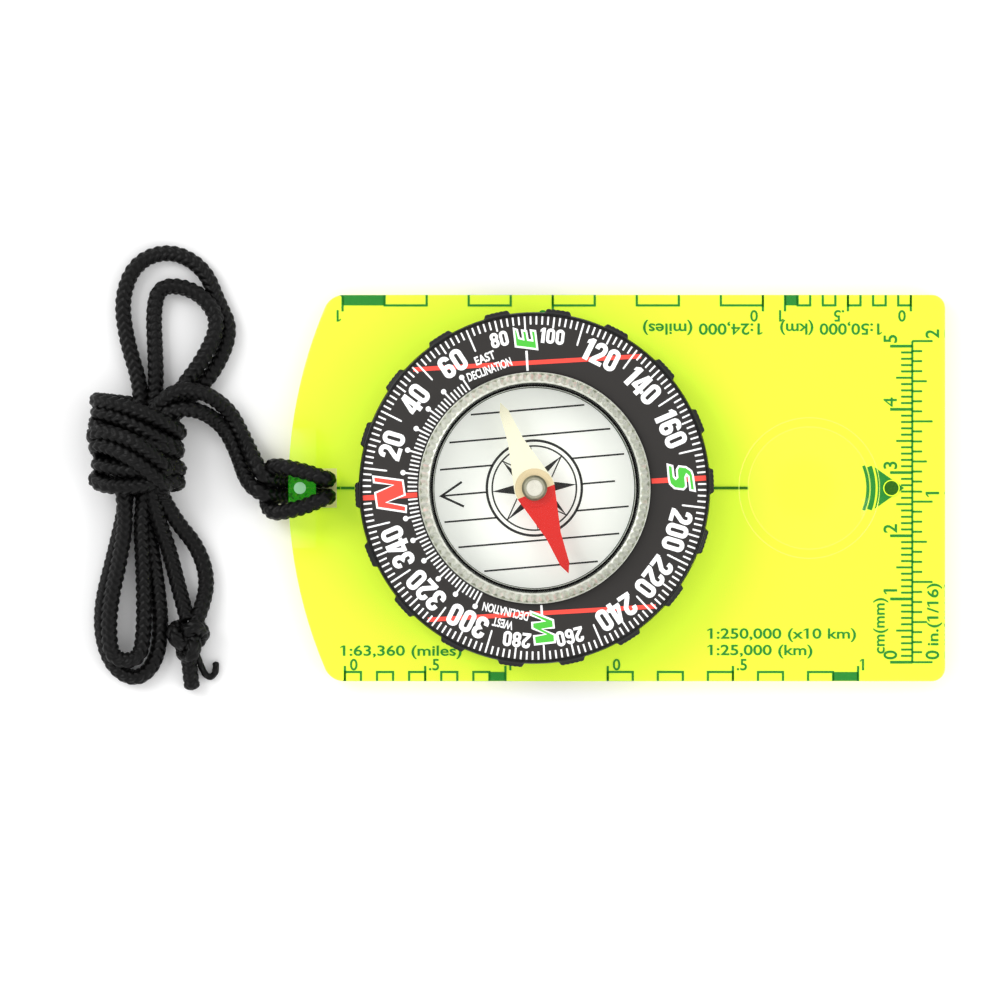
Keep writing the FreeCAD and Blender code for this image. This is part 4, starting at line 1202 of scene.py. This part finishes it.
# ------------------------------------------------------------------------------- azimuth ring
@dataclass
class AzimuthRing:
    """Black bezel with ribbed grips and the printed degree dial."""

    north: float = 183.35
    grips: int = 18
    grip_start: float = 2.3
    grip_angle: float = 9.0
    grip_rise: float = 0.65
    ribs: int = 6
    tick_outer: float = 27.0
    tick_width: float = 0.27
    tick: float = 1.3
    tick_numbered: float = 1.75
    tick_ten: float = 3.55
    numeral_top: float = 25.2
    numeral: float = 3.6
    small_numeral: float = 2.4
    chord_offset: float = 19.7
    red_width: float = 0.8

    def bearing(self, azimuth: float) -> float:
        """Angle from +X, in degrees, of an azimuth on the dial."""
        return self.north - azimuth

    def place(self, azimuth: float, radius: float) -> np.ndarray:
        """Flat point on the dial."""
        return circle(radius, 1, self.bearing(azimuth))[0] + np.array(hub_axis())

    def bezel(self) -> bpy.types.Object:
        """The turning ring, with softened edges and raised grips.

        The profile goes round the hub.  On the outer wall the radius grows by the grip's rise
        where the angle is within a grip, with smooth flanks, less a rib wave along the grip.

        Returns:
            The piece that stands for the CAD ring.
        """
        low, high = span("azimuth_ring")
        dial_low, dial_high = span("azimuth_dial")
        washer = span("drag_washer")[1]
        x = hub_axis()[0]
        crest = high[0] - x
        outer = 27.65
        bore = 17.02
        seat = dial_low[2]
        lip = dial_high[0] - x + 0.05
        land = 18.32
        bottom = washer[2] + 0.05
        corners = [
            (bore, 1.6), (18.52, 1.6), (18.52, 1.3), (19.42, 1.3), (19.42, bottom),
            (21.5, bottom), (21.5, bottom + 2), (25.5, bottom + 2), (25.5, bottom), (outer, bottom),
            (outer, high[2] - 0.45), (outer - 0.2, high[2]), (lip, high[2]), (lip, seat),
            (land, seat), (land, high[2]), (bore, high[2])]
        profile = rounded(corners, 0.16, 4)
        pitch = 2 * math.pi / self.grips
        half = math.radians(self.grip_angle) / 2
        flank = half * 0.22

        def ripple(theta: np.ndarray, r: np.ndarray, z: np.ndarray) -> tuple:
            """Rise of the grips on the outer wall."""
            phase = (theta - math.radians(self.grip_start) + pitch / 2) % pitch - pitch / 2
            rise = np.clip((half - np.abs(phase)) / flank, 0, 1)
            rise = rise * rise * (3 - 2 * rise)
            ribs = 0.035 * (1 - np.cos(phase / half * math.pi * self.ribs)) * (rise > 0.98)
            wall = np.clip((r - (outer - 0.32)) / 0.3, 0, 1)
            top = np.clip((high[2] - z) / 0.7, 0.35, 1)
            return wall * rise * (min(self.grip_rise, crest - outer) - ribs) * top, 0.0

        piece = lathe("bezel", profile, 1440, ripple)
        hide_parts("azimuth_ring")
        return piece

    def ticks(self, white: Artwork) -> None:
        """Degree ticks round the dial's edge, one for each two degrees."""
        for azimuth in range(0, 360, 2):
            if azimuth % 180 == 0:
                continue
            length = self.tick
            if azimuth % 90 == 0:
                length = 2.3
            elif azimuth % 20 == 10:
                length = self.tick_ten
            elif azimuth % 10 == 0:
                length = self.tick_numbered
            outer, inner = self.place(azimuth, self.tick_outer), self.place(azimuth, self.tick_outer - length)
            white.bars([outer], [inner], self.tick_width)
            if azimuth % 20 == 10 and azimuth % 90:
                white.prism(circle(self.tick_width / 2, 12) + inner)

    def declination(self, white: Artwork) -> None:
        """Inner scale of sixty degrees each way from north, with round-headed tens."""
        for azimuth in range(-60, 61, 2):
            if azimuth == 0:
                continue
            ten = azimuth % 10 == 0
            inner, outer = self.place(azimuth, 18.45), self.place(azimuth, 20.8 if ten else 19.95)
            white.bars([inner], [outer], 0.28 if ten else 0.26)
            if ten:
                white.prism(circle(0.42, 16) + outer)
        for azimuth, sign in ((72.5, 1), (286.5, -1)):
            words = "EAST" if sign > 0 else "WEST"
            heading = self.bearing(azimuth) - 90
            white.letters(words, 1.3, self.place(azimuth, 21.25), heading, length=3.3, bold=0.04)
            white.letters("DECLINATION", 1.3, self.place(azimuth, 19.3), heading, length=7.35, bold=0.04)

    def numerals(self, white: Artwork) -> None:
        """Bold condensed figures every twenty degrees, tops outward."""
        for azimuth in range(20, 360, 20):
            if azimuth == 180:
                continue
            near_letter = azimuth in (80, 100, 260, 280)
            height = self.small_numeral if near_letter else self.numeral
            digit = 1.42 if near_letter else 2.12
            words = str(azimuth)
            at = self.place(azimuth, self.numeral_top - height)
            white.figures(words, height, digit, at, self.bearing(azimuth) - 90)

    def letter(self, outline: list, radius: float, azimuth: float, shift: tuple[float, float],
               fill: Artwork, edge: Artwork) -> None:
        """A cardinal letter: a filled outline with a white border, its top towards north.

        Args:
            outline: Points as (right, up) in the letter's own frame.
            radius: Distance of its centre from the hub.
            azimuth: Where it stands on the dial.
            shift: Small move of the centre along the letter's right and up.
            fill: Artwork for the coloured inside.
            edge: Artwork for the white border.
        """
        flat = turned(np.array(outline) + np.array(shift), self.north - 90) + self.place(azimuth, radius)
        fill.prism(flat)
        edge.ribbon(flat, 0.3, True)

    def cardinals(self, red: Artwork, green: Artwork, edge: Artwork) -> None:
        """N in red, and E, S and W in green."""
        north = [(3.0, 2.4), (2.1, -2.2), (-0.2, -2.4), (-1.2, 0.6), (-1.95, -2.5), (-2.9, -2.4),
                 (-1.95, 2.05), (0.4, 2.25), (1.45, -0.7), (2.05, 2.35)]
        east = [(1.69, 1.69), (1.48, 1.2), (0.14, 0.96), (-0.07, 0.28), (1.34, 0.42), (1.2, -0.25),
                (-0.21, -0.42), (-0.35, -1.13), (1.27, -0.94), (1.13, -1.65), (-1.76, -1.83),
                (-1.13, 1.55)]
        west = [(2.65, 1.85), (1.11, -1.61), (-0.09, -1.66), (-0.2, 0.22), (-1.2, -1.71),
                (-2.39, -1.71), (-2.56, 1.47), (-1.23, 1.54), (-1.06, -0.38), (0.0, 1.71),
                (0.89, 1.71), (0.99, -0.38), (2.14, 1.88)]
        south = [(2.16, 1.96), (1.91, 1.21), (0.2, 1.11), (-0.18, 0.8), (0.05, 0.53), (1.26, 0.57),
                 (1.79, 0.2), (1.59, -0.9), (0.95, -1.71), (0.3, -1.91), (-2.23, -2.11),
                 (-2.06, -1.38), (0.1, -1.24), (0.42, -0.93), (0.0, -0.7), (-1.46, -0.75),
                 (-1.89, -0.3), (-1.63, 1.06), (-0.9, 1.76), (-0.1, 1.89)]
        self.letter(north, 22.8, 0, (0.3, 0.0), red, edge)
        self.letter(east, 23.5, 90, (0.0, 0.1), green, edge)
        self.letter(south, 23.05, 180, (0.3, 0.0), green, edge)
        self.letter(west, 22.0, 270, (0.0, -0.1), green, edge)

    def red_lines(self, red: Artwork) -> None:
        """The north-south line and two lines beside it."""
        for azimuth in (0, 180):
            red.bars([self.place(azimuth, 18.45)], [self.place(azimuth, self.tick_outer)], self.red_width)
        half = math.sqrt(self.tick_outer ** 2 - (self.chord_offset + 0.4) ** 2) - 0.1
        for side in (-1, 1):
            ends = turned([(-half, side * self.chord_offset), (half, side * self.chord_offset)], self.north)
            ends = ends + np.array(hub_axis())
            red.bars([ends[0]], [ends[1]], self.red_width * 0.85)

    def build(self) -> None:
        """Make the bezel and print the dial."""
        black = MouldedPlastic("black_abs", "#080808", "#121211", 0.3, shine=0.35).build()
        face = MouldedPlastic("dial_abs", "#282523", "#35322F", 0.5, 0.2, 0.01, shine=0.4).build()
        bezel = self.bezel()
        dress(bezel, black)
        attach(bezel, "ring")
        dress(DATA["azimuth_dial"], face)
        dress(DATA["retaining_ring"], black)
        top = span("azimuth_dial")[1][2]
        red = Artwork(top, top + 0.015)
        white = Artwork(top, top + 0.03)
        fill_red, fill_green = Artwork(top, top + 0.045), Artwork(top, top + 0.045)
        edge = Artwork(top, top + 0.06)
        self.red_lines(red)
        self.ticks(white)
        for azimuth in (90, 270):
            white.bars([self.place(azimuth, 18.45)], [self.place(azimuth, 21.6)], 0.36)
        self.declination(white)
        self.numerals(white)
        self.cardinals(fill_red, fill_green, edge)
        # The emission on the dial inks is painted light that lifts the print; the inks' colours are their own.
        white_ink = ScreenInk("white_dial_ink", "#FFFFFF", "#F4F4F2", 0.35, 0.5, 0.15).build()
        red_ink = ScreenInk("red_dial_ink", "#FF4A3C", "#F8483C", 0.35, 0.5, 0.1).build()
        green_ink = ScreenInk("green_dial_ink", "#4CC43A", "#46BC38", 0.35, 0.5, 0.1).build()
        pieces = [("dial_lines_red", red, red_ink), ("dial_marks_white", white, white_ink),
                  ("dial_letter_red", fill_red, red_ink), ("dial_letters_green", fill_green, green_ink),
                  ("dial_letter_edges", edge, white_ink)]
        for name, art, ink in pieces:
            piece = art.mesh(name)
            dress(piece, ink)
            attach(piece, "ring")
        LOG.info("azimuth ring built")


# ------------------------------------------------------------------------------- capsule
@dataclass
class Capsule:
    """Clear liquid capsule with its toothed rim and printed floor."""

    heading: float = 184.95
    rim_radius: float = 18.2
    rim_inner: float = 16.5
    teeth: int = 90
    line: float = 0.28
    line_gap: float = 4.15

    def rim(self) -> bpy.types.Object:
        """The toothed rim: a sloping top whose radius and height ripple once for each tooth."""
        low, high = span("capsule_top")
        x = hub_axis()[0]
        top = high[2]
        bottom = span("azimuth_ring")[1][2] + 0.2
        ledge = bottom + 0.45
        corners = [(self.rim_inner + 0.02, bottom), (self.rim_radius, bottom), (self.rim_radius, ledge),
                   (self.rim_radius - 0.2, ledge), (self.rim_radius - 0.25, top - 1.1),
                   (self.rim_inner + 0.5, top - 0.3), (self.rim_inner + 0.02, top - 0.12)]
        profile = rounded(corners, 0.12, 4)

        def ripple(theta: np.ndarray, r: np.ndarray, z: np.ndarray) -> tuple:
            """Cut the teeth into the outer wall and the slope."""
            phase = theta * self.teeth / (2 * math.pi) % 1.0
            tooth = 1 - np.abs(2 * phase - 1)
            above = np.clip((z - ledge) / 0.05, 0, 1)
            outside = np.clip((r - (self.rim_inner + 0.3)) / 0.3, 0, 1)
            return -0.25 * tooth * above * outside, -0.5 * tooth * above * outside

        piece = lathe("capsule_rim", profile, self.teeth * 16, ripple)
        return piece

    def cup(self) -> bpy.types.Object:
        """The clear cup under the rim: window, wall and groove, turned about the hub."""
        low, high = span("capsule_top")
        top = high[2]
        wall, chamber, groove = 16.87, 15.92, 16.47
        axis_gap = 0.01
        corners = [(chamber, top - 1), (chamber, 1.5), (wall, 1.5), (wall, 4.5), (groove, 4.5),
                   (groove, 5.5), (wall, 5.5), (wall, 8.3), (self.rim_inner, top - 0.1),
                   (self.rim_inner - 0.2, top), (axis_gap, top), (axis_gap, top - 1)]
        return lathe("capsule_cup", rounded(corners, 0.08, 3), 360)

    def floor_print(self) -> bpy.types.Object:
        """Orienting lines, arrow and rose, printed on the capsule's floor."""
        level = span("capsule_base")[0][2] + 2.0
        art = Artwork(level + 0.005, level + 0.03)
        centre = np.array(hub_axis())

        def put(points: list) -> np.ndarray:
            """Turn the drawing so that its +X is the arrow's heading."""
            return turned(np.array(points, float), self.heading) + centre

        rose, inner = 7.5, 6.65
        for row, reach in ((0, 12.8), (1, 14.6), (2, 12.75), (3, 9.0)):
            offset = row * self.line_gap if row < 3 else 12.4
            gap = math.sqrt(max(rose ** 2 - offset ** 2, 0.0))
            for side in ((1,) if row == 0 else (-1, 1)):
                y = side * offset
                front = 14.7 if row == 0 else reach
                if gap > 0:
                    ends = put([(front, y), (gap, y), (-gap, y), (-reach, y)])
                    art.bars(ends[[0, 2]], ends[[1, 3]], self.line)
                else:
                    ends = put([(front, y), (-reach, y)])
                    art.bars(ends[:1], ends[1:], self.line)
        wing = circle(3.9, 1, 150)[0]
        head = put([(14.7 + wing[0], wing[1]), (14.75, 0.0), (14.7 + wing[0], -wing[1])])
        art.ribbon(head, self.line * 1.3, False)
        art.ribbon(put(circle(rose, 96)), 0.4, True)
        art.ribbon(put(circle(inner, 96)), 0.26, True)
        for point in range(8):
            main = point % 2 == 0
            tip_r, waist = (6.7, 2.4) if main else (6.6, 2.9)
            tip = circle(tip_r, 1, point * 45)[0]
            side = circle(waist, 1, point * 45 + 22.5)[0]
            other = circle(waist, 1, point * 45 - 22.5)[0]
            if main:
                art.prism(put([tip, side, (0.0, 0.0), other]))
            else:
                art.prism(put([tip, side, (0.0, 0.0)]))
                art.ribbon(put([tip, other]), 0.2, False)
        return art.mesh("capsule_print")

    def build(self) -> None:
        """Make and dress the capsule's pieces."""
        clear = MouldedAcrylic("clear_acrylic", "#FDFEFC", "#FEFEFD", flow_mm=20.0, flow_depth=0.005).build()
        # The toothed rim is opaque grey; its white clouds 0.9 mm across at full share are painted glints, while the
        # metal share gives real reflections.
        rim_painted_glints = MouldedPlastic("toothed_rim_painted_glints", "#A6AC98", "#FFFFF6", 0.16, 0.5, 0.08, 0.9, 1.0, mirror=0.35).build()
        rubber = MouldedPlastic("grey_silicone_rubber", "#7C8478", "#8E968A", 0.6).build()
        rim, cup, marks = self.rim(), self.cup(), self.floor_print()
        level = span("capsule_base")[0][2] + 2.0
        white = lathe("capsule_floor_white", np.array([
            (2.05, level + 0.002), (15.78, level + 0.002), (15.78, level + 0.004), (2.05, level + 0.004)]), 180)
        dress(rim, rim_painted_glints)
        dress(cup, clear)
        dress(marks, ScreenInk("black_floor_ink", "#0B0B0C", "#161617", 0.3, 0.45).build())
        # The white disc's emission is painted light: it lifts the floor at the bottom of the capsule's well, which
        # the walls shade.
        dress(white, ScreenInk("white_floor_ink_painted_glow", "#F4F6F2", "#E6EAE6", 6.0, 0.5, 0.3).build())
        for piece in (rim, cup, marks, white):
            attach(piece, "capsule")
        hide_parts("capsule_top")
        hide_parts("capsule_top")
        dress(DATA["capsule_base"], clear)
        for node in ("capsule_gasket", "capsule_drag_ring"):
            dress(DATA[node], rubber)
        dress(DATA["pivot_pin"], TurnedMetal("ground_steel", "#B9BBBC", "#9A9C9E").build())
        LOG.info("capsule built")


# ------------------------------------------------------------------------------- needle
@dataclass
class Needle:
    """Painted blade on a metal cap with a glass bearing."""

    def build(self) -> None:
        """Dress the needle's CAD pieces."""
        paint = NeedlePaint().build()
        dress(DATA["needle_blade"], paint)
        bead = lathe("needle_hub_bead", circle(0.07, 10) + [3.05, span("needle_blade")[1][2]], 128)
        dress(bead, paint)
        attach(bead, "needle")
        dress(DATA["needle_cap"], TurnedMetal("nickel_plated_brass", "#D8D4BC", "#A8A48C", 0.32).build())
        dress(DATA["pivot_jewel"], MouldedPlastic(
            "synthetic_sapphire", "#CFCBBE", "#F2EFE4", 0.12, 0.35, 0.06, 0.7, 1.0).build())
        LOG.info("needle dressed")


def main() -> None:
    """Build everything in order."""
    logging.basicConfig(level=logging.INFO)
    studio = Studio()
    studio.camera()
    Lanyard().build()
    studio.lights()
    studio.floor()
    Baseplate().build()
    AzimuthRing().build()
    Capsule().build()
    Needle().build()
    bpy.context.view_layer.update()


if __name__ == "__main__":
    main()
